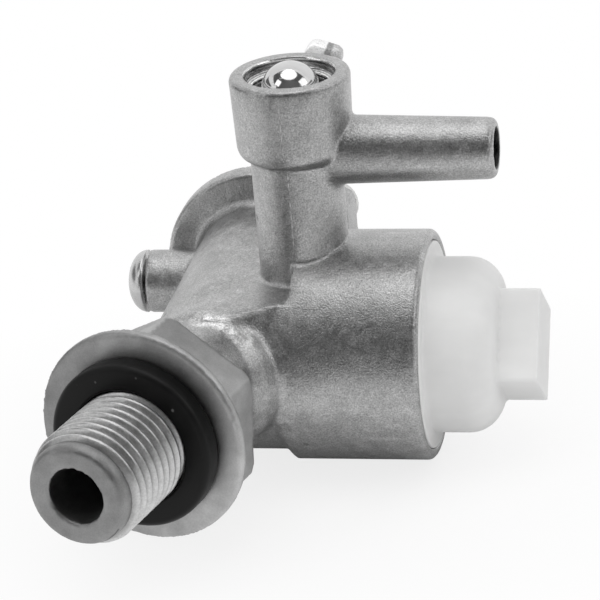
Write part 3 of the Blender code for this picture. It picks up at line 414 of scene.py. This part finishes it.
def soften(obj, voxel, rounds):
    """Rebuilds a piece's surface at one grain size and rounds its edges, as a mould does."""
    remesh = obj.modifiers.new("Skin", "REMESH")
    remesh.mode = "VOXEL"
    remesh.voxel_size = voxel
    smooth = obj.modifiers.new("Soft corners", "SMOOTH")
    smooth.factor = 0.5
    smooth.iterations = rounds
    apply_modifiers(obj)


def thin_out(obj, most):
    """Brings a piece's triangles down to a number."""
    count = sum(len(face.vertices) - 2 for face in obj.data.polygons)
    if count > most:
        fewer = obj.modifiers.new("Fewer faces", "DECIMATE")
        fewer.ratio = most / count
        apply_modifiers(obj)


def points_of(obj):
    flat = np.empty(len(obj.data.vertices) * 3)
    obj.data.vertices.foreach_get("co", flat)
    return flat.reshape(-1, 3)


def true_round(points, base, axis, first, second, length, slack=0.05 * MM):
    """Brings facets of a turned form onto its true round, between two radii at the ends of its length."""
    base = np.array(base)
    axis = np.array(axis)
    out = points - base
    along = out @ axis
    radial = out - np.outer(along, axis)
    distance = np.linalg.norm(radial, axis=1)
    wanted = first + (second - first) * np.clip(along / length, 0, 1)
    near = (along > 0) & (along < length) & (distance > wanted - slack) & (distance < wanted + slack / 3)
    scale = np.where(near, wanted / np.maximum(distance, 1e-9), 1.0)
    points += radial * (scale - 1.0)[:, None]


def finish_piece(obj, material, slot, body, *replaced):
    """Gives a piece its material and smooth shading, hides the CAD pieces it replaces, and attaches it to the
    body it moves with.
    """
    obj.data.materials.clear()
    obj.data.materials.append(material)
    obj.data.shade_smooth()
    if replaced:
        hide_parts(*replaced)
    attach(obj, body)


def near_path(points, path):
    """Each point's distance to a line of straight pieces."""
    nearest = np.full(len(points), 1.0)
    for start, end in zip(path, path[1:]):
        start = np.array(start)
        step = np.array(end) - start
        share = np.clip(((points - start) @ step) / (step @ step), 0, 1)
        nearest = np.minimum(nearest, np.linalg.norm(points - start - np.outer(share, step), axis=1))
    return nearest


def spun(name, profile, base, axis, steps=96):
    """A turned piece: the profile's radius and height, in metres, go once round an axis from its base."""
    mesh = bpy.data.meshes.new(name)
    lathe = bmesh.new()
    corners = [lathe.verts.new((radius, 0, height)) for radius, height in profile]
    pairs = list(zip(corners, corners[1:]))
    if profile[0][0] > 0 or profile[-1][0] > 0:
        pairs.append((corners[-1], corners[0]))
    edges = [lathe.edges.new(pair) for pair in pairs]
    bmesh.ops.spin(
        lathe,
        geom=corners + edges,
        cent=(0, 0, 0),
        axis=(0, 0, 1),
        dvec=(0, 0, 0),
        angle=math.tau,
        steps=steps,
        use_merge=True,
        use_duplicate=False,
    )
    bmesh.ops.remove_doubles(lathe, verts=lathe.verts, dist=0.000001)
    bmesh.ops.recalc_face_normals(lathe, faces=lathe.faces)
    bmesh.ops.rotate(lathe, matrix=Vector(axis).to_track_quat("Z", "Y").to_matrix(), verts=lathe.verts)
    bmesh.ops.translate(lathe, vec=base, verts=lathe.verts)
    lathe.to_mesh(mesh)
    lathe.free()
    obj = bpy.data.objects.new(name, mesh)
    bpy.context.scene.collection.objects.link(obj)
    return obj


def arc(radius_at, height_at, radius, start, end, count=8):
    """Points of an arc in a profile, between two angles in degrees."""
    points = []
    for step in range(count + 1):
        angle = math.radians(start + (end - start) * step / count)
        points.append((radius_at + radius * math.cos(angle), height_at + radius * math.sin(angle)))
    return points


def add_to(obj, extra):
    """Puts another closed form into a piece's mesh, for the skin to take in."""
    joined = bmesh.new()
    joined.from_mesh(obj.data)
    joined.from_mesh(extra.data)
    joined.to_mesh(obj.data)
    joined.free()
    bpy.data.objects.remove(extra)


casting = copy_of("tap_casting", "casting_skin")

# The neck widens behind the hexagon, a little lower and farther right than the stud's axis.
flare_profile = [(0, 9.2), (4.9, 9.2), (5.2, 10.2), (5.75, 11.3), (6.15, 12.3), (6.0, 13.6), (0, 13.6)]
flare_profile = [(radius * MM, height * MM) for radius, height in flare_profile]
right_of_stud = Vector((-STUD_AXIS.y, STUD_AXIS.x, 0))
flare_base = right_of_stud * 0.35 * MM - Vector((0, 0, 0.55 * MM))
add_to(casting, spun("neck_flare", flare_profile, flare_base, -STUD_AXIS))

# A ring narrows the chamber's mouth to the bowl's skirt.
ring_outer = 9.5 * MM
ring_depth = 0.5 * MM
ring_profile = [(MOUTH_RADIUS, -ring_depth), (MOUTH_RADIUS, 0), (ring_outer, 0), (ring_outer, -ring_depth)]
add_to(casting, spun("mouth_ring", ring_profile, (MOUTH_X, CHAMBER_Y, CHAMBER_Z), (1, 0, 0)))

# A hollow fillet joins the body and the valve flange.
corner = 1.2 * MM
fillet_inner = 5.5 * MM
fillet_foot = 6.05 * MM
fillet_sunk = -0.3 * MM
fillet_profile = [(fillet_inner, corner * 2), (fillet_foot, corner)]
for step in range(1, 8):
    angle = math.radians(90 * step / 8)
    fillet_profile.append((fillet_foot + corner * (1 - math.cos(angle)), corner * (1 - math.sin(angle))))
fillet_outer = fillet_foot + corner
fillet_profile += [(fillet_outer, 0), (fillet_outer, fillet_sunk), (fillet_inner, fillet_sunk)]
add_to(casting, spun("flange_fillet", fillet_profile, (VALVE_X, VALVE_FLANGE_Y, VALVE_Z), (0, -1, 0)))
soften(casting, SKIN_VOXEL, 3)

# The die rounds the deep inner corners most: neck to chamber, cup to spigot, body to flange and the
# chamber's foot. Each has its line, how far it is rounded and how much.
neck_corner = ((6.7, 11.2, -4.0), (8.4, 10.8, 0.0), (8.4, 11.2, 2.4), (7.2, 12.2, 4.4), (5.4, 12.2, 5.6))
spigot_corner = ((13.6, 15.6, 16.9), (14.0, 17.4, 15.4), (14.4, 20.7, 14.2), (14.0, 24.0, 15.4))
flange_corner = ((-3.6, 35.4, -3.4), (-3.9, 35.4, 1.6), (-1.6, 35.0, 5.2), (3.3, 35.2, 7.0), (9.0, 35.4, 6.4))
chamber_corner = ((8.6, 11.35, -4.4), (13.0, 11.35, -4.4))
inner_corners = (
    (neck_corner, 1.6, 1.0),
    (spigot_corner, 1.0, 0.6),
    (flange_corner, 1.8, 0.9),
    (chamber_corner, 0.9, 0.9),
)
spots = points_of(casting)
group = casting.vertex_groups.new(name="inner_corners")
weights = np.zeros(len(spots))
for path, reach, most in inner_corners:
    distance = near_path(spots, [Vector(point) * MM for point in path])
    weights = np.maximum(weights, most * np.clip(1.6 - distance / (reach * MM), 0, 1))
for index in np.nonzero(weights > 0.02)[0]:
    group.add([int(index)], float(weights[index]), "REPLACE")
fillet = casting.modifiers.new("Inner corners", "SMOOTH")
fillet.factor = 0.5
fillet.iterations = 70
fillet.vertex_group = "inner_corners"
apply_modifiers(casting)

spots = points_of(casting)
neck_start = tuple(-STUD_AXIS * HEX_BACK)
into_housing = tuple(-STUD_AXIS)

# Each straight or tapered form goes back onto its true round. A row has the form's base, its direction,
# its radius at either end and its length.
rounds = (
    ((10.6 * MM, CHAMBER_Y, CHAMBER_Z), (1, 0, 0), CHAMBER_RADIUS, CHAMBER_RADIUS, 10.1 * MM),
    ((4.6 * MM, CHAMBER_Y, CHAMBER_Z), (1, 0, 0), CHAMBER_RADIUS, CHAMBER_RADIUS, 6.0 * MM),
    ((COLUMN_X, CHAMBER_Y, COLUMN_FOOT_Z), (0, 0, 1), COLUMN_RADIUS, COLUMN_RADIUS, 9.0 * MM),
    ((COLUMN_X, CHAMBER_Y, CUP_FOOT_Z), (0, 0, 1), 4.95 * MM, 5.15 * MM, 5.8 * MM),
    ((COLUMN_X, CHAMBER_Y, SPIGOT_Z), (1, 0, 0), 3.05 * MM, 2.62 * MM, 16.6 * MM),
    ((0, 0, 0), into_housing, FLANGE_RADIUS, FLANGE_RADIUS, FLANGE_THICKNESS),
    (neck_start, into_housing, NECK_RADIUS, NECK_RADIUS, 5.0 * MM),
    ((0, 0, 0), tuple(STUD_AXIS), CORE_RADIUS, CORE_RADIUS, STUD_END),
    ((VALVE_X, BODY_START_Y, VALVE_Z), (0, 1, 0), BODY_RADIUS, BODY_RADIUS, 19.8 * MM),
    ((VALVE_X, VALVE_FLANGE_Y, VALVE_Z), (0, 1, 0), VALVE_FLANGE_RADIUS, VALVE_FLANGE_RADIUS, 2.1 * MM),
    ((STUB_X, STUB_Y, VALVE_Z), (1, 0, 0), STUB_RADIUS, STUB_RADIUS, 4.5 * MM),
)
for base, direction, first, second, length in rounds:
    true_round(spots, base, direction, first, second, length)
casting.data.vertices.foreach_set("co", spots.ravel())
thin_out(casting, MOST_SKIN_TRIANGLES)
finish_piece(casting, casting_zinc, "cast_zinc", "housing", "tap_casting")


# Stud thread. Cut on the cast stud, M10 x 1: slightly bruised crests over grooves, running out at the
# chamfered end and going on under the seal. The crests are painted lighter and the grooves darker, as painted
# light and shade.

PITCH = 1.0 * MM
CREST_RADIUS = 4.99 * MM
THREAD_START = 0.6 * MM
THREAD_TURNS = 9.9
FADE_TURNS = 0.9
TURN_STEPS = 60


def thread_metal():
    """Cut zinc with painted light and shade: crests painted lighter and grooves darker, told apart by the
    distance from the stud's axis.
    """
    made, tree, shader, where = new_material("cut_thread", 1.0, 0.3)
    along = measure(tree, "DOT_PRODUCT", where, STUD_AXIS)
    on_axis = {0: tuple(STUD_AXIS), "Scale": along}
    centre = add_node(tree, "ShaderNodeVectorMath", on_axis, operation="SCALE").outputs[0]
    radius = measure(tree, "DISTANCE", where, centre)
    wear = noise_at(tree, where, 900.0, 4.0)
    fine = noise_at(tree, where, 5200.0, 2.0)
    # Painted shade in the grooves and painted light on the crests, by the distance from the axis.
    level = ramp(tree, radius, 4.5 * MM, 4.9 * MM, 0.42, 0.62, smooth=True)
    bright = product(tree, level, ramp(tree, wear, 0.3, 0.7, 0.82, 1.12))
    bright = product(tree, bright, ramp(tree, fine, 0.3, 0.7, 0.88, 1.12))
    grey(tree, shader, bright)
    tree.links.new(ramp(tree, wear, 0.3, 0.7, 0.3, 0.46), shader.inputs["Roughness"])
    bumps(tree, shader, ((wear, 0.5, 0.00005), (fine, 0.8, 0.00002)))
    return made


def make_thread():
    """A tooth's outline, spun up the stud in a helix, that fades out at the stud's end."""
    mesh = bpy.data.meshes.new("stud_thread")
    tooth = bmesh.new()
    half = PITCH / 2
    outline = (
        (CORE_RADIUS - 0.12 * MM, -half),
        (CORE_RADIUS + 0.10 * MM, -0.42 * PITCH),
        (CREST_RADIUS - 0.14 * MM, -0.20 * PITCH),
        (CREST_RADIUS - 0.03 * MM, -0.10 * PITCH),
        (CREST_RADIUS, 0.0),
        (CREST_RADIUS - 0.03 * MM, 0.10 * PITCH),
        (CREST_RADIUS - 0.14 * MM, 0.20 * PITCH),
        (CORE_RADIUS + 0.10 * MM, 0.42 * PITCH),
        (CORE_RADIUS - 0.12 * MM, half),
    )
    corners = [tooth.verts.new((radius, 0, height)) for radius, height in outline]
    edges = [tooth.edges.new(pair) for pair in zip(corners, corners[1:] + corners[:1])]
    steps = int(TURN_STEPS * THREAD_TURNS)
    bmesh.ops.spin(
        tooth,
        geom=corners + edges,
        cent=(0, 0, 0),
        axis=(0, 0, 1),
        dvec=(0, 0, PITCH / TURN_STEPS),
        angle=math.tau * THREAD_TURNS,
        steps=steps,
        use_merge=False,
        use_duplicate=False,
    )
    bmesh.ops.holes_fill(tooth, edges=[edge for edge in tooth.edges if edge.is_boundary], sides=0)
    bmesh.ops.recalc_face_normals(tooth, faces=tooth.faces)
    for vertex in tooth.verts:
        across = math.hypot(vertex.co.x, vertex.co.y)
        part_turn = math.atan2(vertex.co.y, vertex.co.x) / math.tau
        turns = part_turn + round(vertex.co.z / PITCH - part_turn)
        left = min(1.0, max(0.0, (THREAD_TURNS - turns) / FADE_TURNS))
        rise = (across - CORE_RADIUS + 0.1 * MM) * (1 - left * left * (3 - 2 * left))
        bruise = 0.03 * MM * max(0.0, noise.noise(vertex.co * 700)) * (across > CORE_RADIUS + 0.3 * MM)
        vertex.co.xy *= (across - rise - bruise) / across
    turn = STUD_AXIS.to_track_quat("Z", "Y").to_matrix()
    bmesh.ops.rotate(tooth, matrix=turn, verts=tooth.verts)
    bmesh.ops.translate(tooth, vec=STUD_AXIS * THREAD_START, verts=tooth.verts)
    tooth.to_mesh(mesh)
    tooth.free()
    obj = bpy.data.objects.new("stud_thread", mesh)
    bpy.context.scene.collection.objects.link(obj)
    return obj


finish_piece(make_thread(), thread_metal(), "cast_zinc", "housing")


# Parting fins. Where the die's halves met, a hair of metal stands up the front of cup and column, goes
# down the chamber's left edge, and runs along the shoulder to the neck. One more rings the column's foot.

FIN_RADIUS = 0.05 * MM
FIN_STEP = 0.25 * MM


def fin_metal():
    made, tree, shader, where = new_material("fin_metal", 1.0, 0.3)
    rag = noise_at(tree, where, 1800.0, 3.0)
    grey(tree, shader, ramp(tree, rag, 0.35, 0.65, 0.2, 0.72))
    tree.links.new(ramp(tree, rag, 0.3, 0.7, 0.25, 0.45), shader.inputs["Roughness"])
    bumps(tree, shader, ((rag, 0.6, 0.00004),))
    return made


def spread(points, step):
    """Points at an even step along a line of straight pieces."""
    placed = []
    for start, end in zip(points, points[1:]):
        start = Vector(start)
        end = Vector(end)
        count = max(1, int((end - start).length / step))
        placed += [start.lerp(end, share / count) for share in range(count)]
    return placed + [Vector(points[-1])]


skin_tree = BVHTree.FromObject(casting, bpy.context.evaluated_depsgraph_get())


def lay_bead(name, path, radius, material, sink=0.3):
    """A thin ragged bead on the casting's skin, along a path given in millimetres."""
    places = []
    for point in spread([Vector(corner) * MM for corner in path], FIN_STEP):
        hit, normal, face, reach = skin_tree.find_nearest(point)
        places.append(hit - normal * radius * sink)
    curve = bpy.data.curves.new(name, "CURVE")
    curve.dimensions = "3D"
    curve.bevel_depth = radius
    curve.bevel_resolution = 1
    curve.use_fill_caps = True
    line = curve.splines.new("POLY")
    line.points.add(len(places) - 1)
    for count, (point, place) in enumerate(zip(line.points, places)):
        point.co = (*place, 1)
        edge = min(count, len(places) - 1 - count, 3) / 3
        point.radius = (0.25 + 0.75 * edge) * (1 + 0.6 * noise.noise(Vector(place) * 1400))
    bead = bpy.data.objects.new(name, curve)
    bpy.context.scene.collection.objects.link(bead)
    bpy.context.view_layer.update()
    graph = bpy.context.evaluated_depsgraph_get()
    mesh = bpy.data.meshes.new_from_object(bead.evaluated_get(graph))
    bpy.data.objects.remove(bead)
    solid = bpy.data.objects.new(name, mesh)
    bpy.context.scene.collection.objects.link(solid)
    finish_piece(solid, material, "cast_zinc", "housing")


# All paths are in millimetres, and those over the chamber lie on its round.
FIN_X = 10.42
SHOULDER_Z = 5.93
axis_y = CHAMBER_Y / MM
axis_z = CHAMBER_Z / MM
chamber_round = CHAMBER_RADIUS / MM
ragged = fin_metal()
lay_bead("cup_fin", ((FIN_X, 15.6, 23.5), (FIN_X, 15.75, 18.1)), FIN_RADIUS, ragged)
lay_bead("column_fin", ((FIN_X, 16.83, 16.7), (FIN_X, 16.83, 8.5)), FIN_RADIUS, ragged)
edge_path = []
for height in (8.1, 7.5, 6.9, 6.4, 6.1):
    edge_path.append((10.22, axis_y - math.sqrt(chamber_round**2 - (height - axis_z) ** 2), height))
lay_bead("chamber_fin", edge_path, FIN_RADIUS * 0.8, ragged)
shoulder_line = ((9.9, 13.6), (9.4, 13.5), (8.77, 13.08), (7.24, 12.14), (5.84, 11.41), (4.44, 11.1))
lay_bead("shoulder_fin", [(*point, SHOULDER_Z) for point in shoulder_line], FIN_RADIUS, ragged)
foot_radius = COLUMN_RADIUS / MM + 0.05
foot_path = []
for turn in range(0, 100, 6):
    angle = math.radians(-88 + turn)
    foot_x = COLUMN_X / MM + foot_radius * math.cos(angle)
    foot_y = axis_y + foot_radius * math.sin(angle)
    foot_path.append((foot_x, foot_y, axis_z + math.sqrt(chamber_round**2 - (foot_y - axis_y) ** 2)))
lay_bead("foot_fin", foot_path, FIN_RADIUS * 0.9, ragged)


# Tank seal. A flat washer of black nitrile rubber, pushed over the thread against the flange. Dust and
# fine specks cling to it.


def rubber(name, dust=1.0):
    made, tree, shader, where = new_material(name, 0.0, 0.42)
    bloom = noise_at(tree, where, 420.0, 5.0)
    specks = add_node(tree, "ShaderNodeTexVoronoi", {"Vector": where, "Scale": 900.0})
    rare = ramp(tree, noise_at(tree, where, 500.0, 2.0), 0.6, 0.64, 0.0, dust)
    dot = product(tree, ramp(tree, specks.outputs["Distance"], 0.08, 0.16, 1.0, 0.0), rare)
    black = ramp(tree, bloom, 0.3, 0.7, 0.003, 0.007)
    grey(tree, shader, product(tree, black, product(tree, dot, 0.10), "ADD"))
    shader.inputs["Specular IOR Level"].default_value = 0.2
    tree.links.new(ramp(tree, bloom, 0.3, 0.7, 0.34, 0.52), shader.inputs["Roughness"])
    skin = noise_at(tree, where, 2600.0, 3.0)
    bumps(tree, shader, ((skin, 0.25, 0.00002), (dot, 0.5, 0.00004)))
    return made


seal_inner = 5.05 * MM
seal_profile = arc(6.70 * MM, 1.35 * MM, 0.55 * MM, 90, 0) + [(7.25 * MM, 0.28 * MM)]
seal_profile += arc(6.97 * MM, 0.28 * MM, 0.28 * MM, 0, -90, 4)
seal_profile += [(seal_inner, 0), (seal_inner, 1.65 * MM)]
seal_profile += arc(seal_inner + 0.25 * MM, 1.65 * MM, 0.25 * MM, 180, 90, 4)
seal = spun("tank_washer", seal_profile, STUD_AXIS * 0.25 * MM, STUD_AXIS)
finish_piece(seal, rubber("nitrile_rubber"), "black_rubber", "housing", "tank_seal")
hidden_rubber = rubber("inner_rubber", 0.0)
nodes["valve_seal"].material_slots[0].material = hidden_rubber
nodes["bowl_seal"].material_slots[0].material = hidden_rubber


# Gallery ball. A polished bearing ball, pressed into the cup to close the drilling, with a few fine
# handling scratches.


def polished_steel(name, tone, roughness):
    made, tree, shader, where = new_material(name, 1.0, roughness)
    haze = noise_at(tree, where, 600.0, 4.0)
    drawn_out = {"Vector": where, "Scale": (0.12, 1.0, 1.0), "Rotation": (0.4, 0.9, 0.2)}
    lines = add_node(tree, "ShaderNodeMapping", drawn_out).outputs[0]
    marks = ramp(tree, noise_at(tree, lines, 6500.0, 2.0, 0.5), 0.66, 0.72, 0.0, 1.0)
    steel = ramp(tree, haze, 0.3, 0.7, tone * 0.92, tone)
    grey(tree, shader, product(tree, steel, ramp(tree, marks, 0.0, 1.0, 1.0, 0.86)))
    clean = ramp(tree, haze, 0.3, 0.7, roughness, roughness + 0.06)
    tree.links.new(product(tree, clean, product(tree, marks, 0.08), "ADD"), shader.inputs["Roughness"])
    bumps(tree, shader, ((haze, 0.2, 0.00003), (marks, 0.25, 0.000008)))
    return made


BALL_RADIUS = 2.55 * MM
BALL_Z = 22.44 * MM
ball_mesh = bpy.data.meshes.new("bearing_ball")
ball = bmesh.new()
bmesh.ops.create_icosphere(ball, subdivisions=5, radius=BALL_RADIUS)
bmesh.ops.translate(ball, vec=(COLUMN_X, CHAMBER_Y, BALL_Z), verts=ball.verts)
ball.to_mesh(ball_mesh)
ball.free()
bearing_ball = bpy.data.objects.new("bearing_ball", ball_mesh)
bpy.context.scene.collection.objects.link(bearing_ball)
ball_steel = polished_steel("ball_steel", 0.68, 0.07)
finish_piece(bearing_ball, ball_steel, "bright_steel", "housing", "gallery_ball")


# Cross plug. A round-headed steel plug, driven into the cross drilling on the left.

HEAD_HEIGHT = 1.7 * MM
SHANK_RADIUS = 1.35 * MM
SHANK_LENGTH = 4.0 * MM
HEAD_STEPS = 14
plug_profile = [(0, HEAD_HEIGHT)]
for step in range(1, HEAD_STEPS + 1):
    angle = math.radians(90 - 90 * step / HEAD_STEPS)
    plug_profile.append((STUB_RADIUS * math.cos(angle) ** 0.9, HEAD_HEIGHT * math.sin(angle)))
plug_profile += [(STUB_RADIUS, 0), (SHANK_RADIUS, 0), (SHANK_RADIUS, -SHANK_LENGTH), (0, -SHANK_LENGTH)]
plug = spun("driven_plug", plug_profile, (STUB_X - 0.3 * MM, STUB_Y, VALVE_Z), (-1, 0, 0))
finish_piece(plug, polished_steel("plug_steel", 0.6, 0.24), "bright_steel", "housing", "cross_plug")


# Sediment bowl. Milky moulded nylon: a screwed skirt, a dome and a nearly square key for a spanner, with
# soft moulded edges. Light goes a little way into it.

BOWL_END_X = 27.24 * MM
SKIRT_START_X = 15.24 * MM
SKIRT_RADIUS = 8.9 * MM
BOWL_RADIUS = 7.6 * MM
BOWL_BORE = 6.3 * MM
BOWL_WALL = 1.3 * MM
DOME_CORNER = 2.9 * MM
INNER_CORNER = 2.25 * MM
KEY_DEPTH = 4.2 * MM
KEY_LONG_SIDE = 8.25 * MM
KEY_SHORT_SIDE = 7.35 * MM
KEY_CORNER = 0.2 * MM
KEY_TURN = math.radians(52.0)


def milky_nylon(name):
    made, tree, shader, where = new_material(name, 0.0, 0.42)
    cloud = noise_at(tree, where, 170.0, 4.0, 0.5)
    drawn_out = add_node(tree, "ShaderNodeMapping", {"Vector": where, "Scale": (0.3, 1.0, 1.0)})
    flow = noise_at(tree, drawn_out.outputs[0], 520.0, 3.0, 0.5)
    milk = ramp(tree, cloud, 0.3, 0.7, 0.82, 0.88)
    grey(tree, shader, product(tree, milk, ramp(tree, flow, 0.3, 0.7, 0.975, 1.015)), (1.0, 1.0, 0.995))
    tree.links.new(ramp(tree, flow, 0.3, 0.7, 0.36, 0.5), shader.inputs["Roughness"])
    shader.inputs["Subsurface Weight"].default_value = 0.35
    shader.inputs["Subsurface Radius"].default_value = (1.0, 1.0, 1.0)
    shader.inputs["Subsurface Scale"].default_value = 0.0012
    bumps(tree, shader, ((flow, 0.2, 0.00006), (noise_at(tree, where, 3000.0, 2.0), 0.15, 0.00001)))
    return made


nylon = milky_nylon("milky_nylon")
floor_x = BOWL_END_X - BOWL_WALL
bowl_profile = [(0, BOWL_END_X)]
bowl_profile += arc(BOWL_RADIUS - DOME_CORNER, BOWL_END_X - DOME_CORNER, DOME_CORNER, 90, 0, 14)
bowl_profile += [(BOWL_RADIUS, MOUTH_X), (SKIRT_RADIUS + 0.09 * MM, MOUTH_X)]
bowl_profile += [(SKIRT_RADIUS, SKIRT_START_X), (BOWL_BORE, SKIRT_START_X)]
bowl_profile += arc(BOWL_BORE - INNER_CORNER, floor_x - INNER_CORNER, INNER_CORNER, 0, 90, 10)
bowl_profile += [(0, floor_x)]
bowl = spun("nylon_bowl", bowl_profile, (0, CHAMBER_Y, CHAMBER_Z), (1, 0, 0))
key = bmesh.new()
key.from_mesh(bowl.data)
block = bmesh.ops.create_cube(key, size=1.0)["verts"]
bmesh.ops.scale(key, vec=(KEY_DEPTH, KEY_LONG_SIDE, KEY_SHORT_SIDE), verts=block)
key_edges = dict.fromkeys(edge for vertex in block for edge in vertex.link_edges)
long_edges = [edge for edge in key_edges if abs(edge.verts[0].co.x - edge.verts[1].co.x) > 1 * MM]
rounded = bmesh.ops.bevel(
    key, geom=long_edges, offset=KEY_CORNER, affect="EDGES", segments=2, profile=0.5, material=-1
)
block = {vertex for face in rounded["faces"] for vertex in face.verts}
block |= {other for vertex in block for edge in vertex.link_edges for other in edge.verts}
block = list(block)
key_middle_x = BOWL_END_X - BOWL_WALL / 2 + (KEY_DEPTH - 0.05 * MM) / 2
bmesh.ops.translate(key, vec=(key_middle_x, 0, 0), verts=block)
bmesh.ops.rotate(key, cent=(0, 0, 0), matrix=Matrix.Rotation(KEY_TURN, 3, "X"), verts=block)
bmesh.ops.translate(key, vec=(0, CHAMBER_Y, CHAMBER_Z), verts=block)
key.to_mesh(bowl.data)
key.free()
soften(bowl, 0.16 * MM, 2)
finish_piece(bowl, nylon, "white_nylon", "bowl", "sediment_bowl")


# Strainer. A moulded nylon cage pressed into the chamber's throat, which carries a sleeve of woven
# gauze. It stays hidden behind the bowl.

nodes["strainer_cage"].material_slots[0].material = nylon
gauze, tree, shader, where = new_material("woven_gauze", 0.0, 0.5)
lengthwise = add_node(tree, "ShaderNodeTexWave", {"Vector": where, "Scale": 900.0}, bands_direction="X")
centred = add_node(tree, "ShaderNodeMapping", {"Vector": where, "Location": (0, -CHAMBER_Y, -CHAMBER_Z)})
parts_of = add_node(tree, "ShaderNodeSeparateXYZ", {0: centred.outputs[0]})
around = product(tree, parts_of.outputs["Z"], parts_of.outputs["Y"], "ARCTAN2")
across = add_node(tree, "ShaderNodeMath", {0: product(tree, around, 96.0)}, operation="SINE").outputs[0]
weave = product(tree, lengthwise.outputs["Fac"], ramp(tree, across, -1.0, 1.0, 0.0, 1.0), "MAXIMUM")
grey(tree, shader, ramp(tree, weave, 0.3, 0.9, 0.16, 0.6))
bumps(tree, shader, ((weave, 0.8, 0.00006),))
nodes["strainer_gauze"].material_slots[0].material = gauze


# Lever. A small zinc casting: a hub that wipes over the rubber disc, and an arm with a rib and a blunt
# tip, its edges rounded by tumbling. The tip's left half is painted lighter as a highlight, and a band down
# its middle darker as painted shade.

ARM_LEAN = math.radians(18.3)
BEND_START = 16.6 * MM
BEND = 118.0
lever_zinc = cast_metal("lever_zinc", 0.5, grain=0.5)
lever_hub = (VALVE_X, 0, VALVE_Z)
arm_way = (math.sin(ARM_LEAN), 0, math.cos(ARM_LEAN))
arm_side = (math.cos(ARM_LEAN), 0, -math.sin(ARM_LEAN))
tree = lever_zinc.node_tree
shader = tree.nodes["Principled BSDF"]
where = add_node(tree, "ShaderNodeTexCoord").outputs["Object"]
from_hub = add_node(tree, "ShaderNodeVectorMath", {0: where, 1: lever_hub}, operation="SUBTRACT").outputs[0]
across = measure(tree, "DOT_PRODUCT", from_hub, arm_side)
at_tip = ramp(tree, measure(tree, "DOT_PRODUCT", from_hub, arm_way), 17.5 * MM, 18.5 * MM, 0.0, 1.0)
# Painted light at the tip: left half painted lighter as a highlight, a middle band darker as shade, the right
# side a little lighter.
left_half = ramp(tree, across, -0.05 * MM, 0.1 * MM, 1.9, 0.62)
right_half = ramp(tree, across, 0.5 * MM, 0.7 * MM, 0.0, 0.55)
painted_light = blend(tree, at_tip, 1.0, product(tree, left_half, right_half, "ADD"))
colour = shader.inputs["Base Color"].links[0].from_socket
tip_with_painted_light = add_node(tree, "ShaderNodeVectorMath", {0: colour, "Scale": painted_light}, operation="SCALE")
tree.links.new(tip_with_painted_light.outputs[0], shader.inputs["Base Color"])

# The arm's end bends back, farther the nearer to its tip.
lever = copy_of("lever", "lever_casting")
soften(lever, 0.12 * MM, 3)
spots = points_of(lever)
beyond = np.clip((spots - np.array(lever_hub)) @ np.array(arm_way) - BEND_START, 0, None)
spots[:, 1] += BEND * beyond**2
lever.data.vertices.foreach_set("co", spots.ravel())
finish_piece(lever, lever_zinc, "cast_zinc", "valve_lever", "lever")


# Lever cover. A pressed steel cap, zinc plated, with a window for the arm. A waved spring washer under
# it presses the lever on the rubber, and two screws hold its feet on the casting's ears.


def plated_steel(name, tone, roughness):
    made, tree, shader, where = new_material(name, 1.0, roughness)
    cloud = noise_at(tree, where, 420.0, 4.0)
    spangle = add_node(tree, "ShaderNodeTexVoronoi", {"Vector": where, "Scale": 700.0})
    zinc = ramp(tree, spangle.outputs["Distance"], 0.0, 1.0, 0.94, 1.05)
    tint = product(tree, ramp(tree, cloud, 0.3, 0.7, 0.86, 1.06), zinc)
    dull = ramp(tree, noise_at(tree, where, 900.0, 3.0), 0.58, 0.66, 1.0, 0.8)
    grey(tree, shader, product(tree, product(tree, tint, dull), tone), (1.0, 1.0, 0.985))
    polish = ramp(tree, cloud, 0.3, 0.7, roughness - 0.06, roughness + 0.1)
    tree.links.new(polish, shader.inputs["Roughness"])
    fine = noise_at(tree, where, 4500.0, 2.0)
    bumps(tree, shader, ((cloud, 0.3, 0.00005), (fine, 0.35, 0.00001)))
    return made


cap_steel = plated_steel("cap_steel", 0.62, 0.3)
cap = copy_of("lever_cover", "pressed_cap")
soften(cap, 0.14 * MM, 3)
finish_piece(cap, cap_steel, "plated_steel", "housing", "lever_cover")
screw_steel = plated_steel("screw_steel", 0.66, 0.26)
for node, name in (("cover_screw_upper", "cap_screw_upper"), ("cover_screw_lower", "cap_screw_lower")):
    screw = copy_of(node, name)
    soften(screw, 0.08 * MM, 3)
    finish_piece(screw, screw_steel, "plated_steel", "housing", node)
nodes["wave_washer"].material_slots[0].material = cap_steel
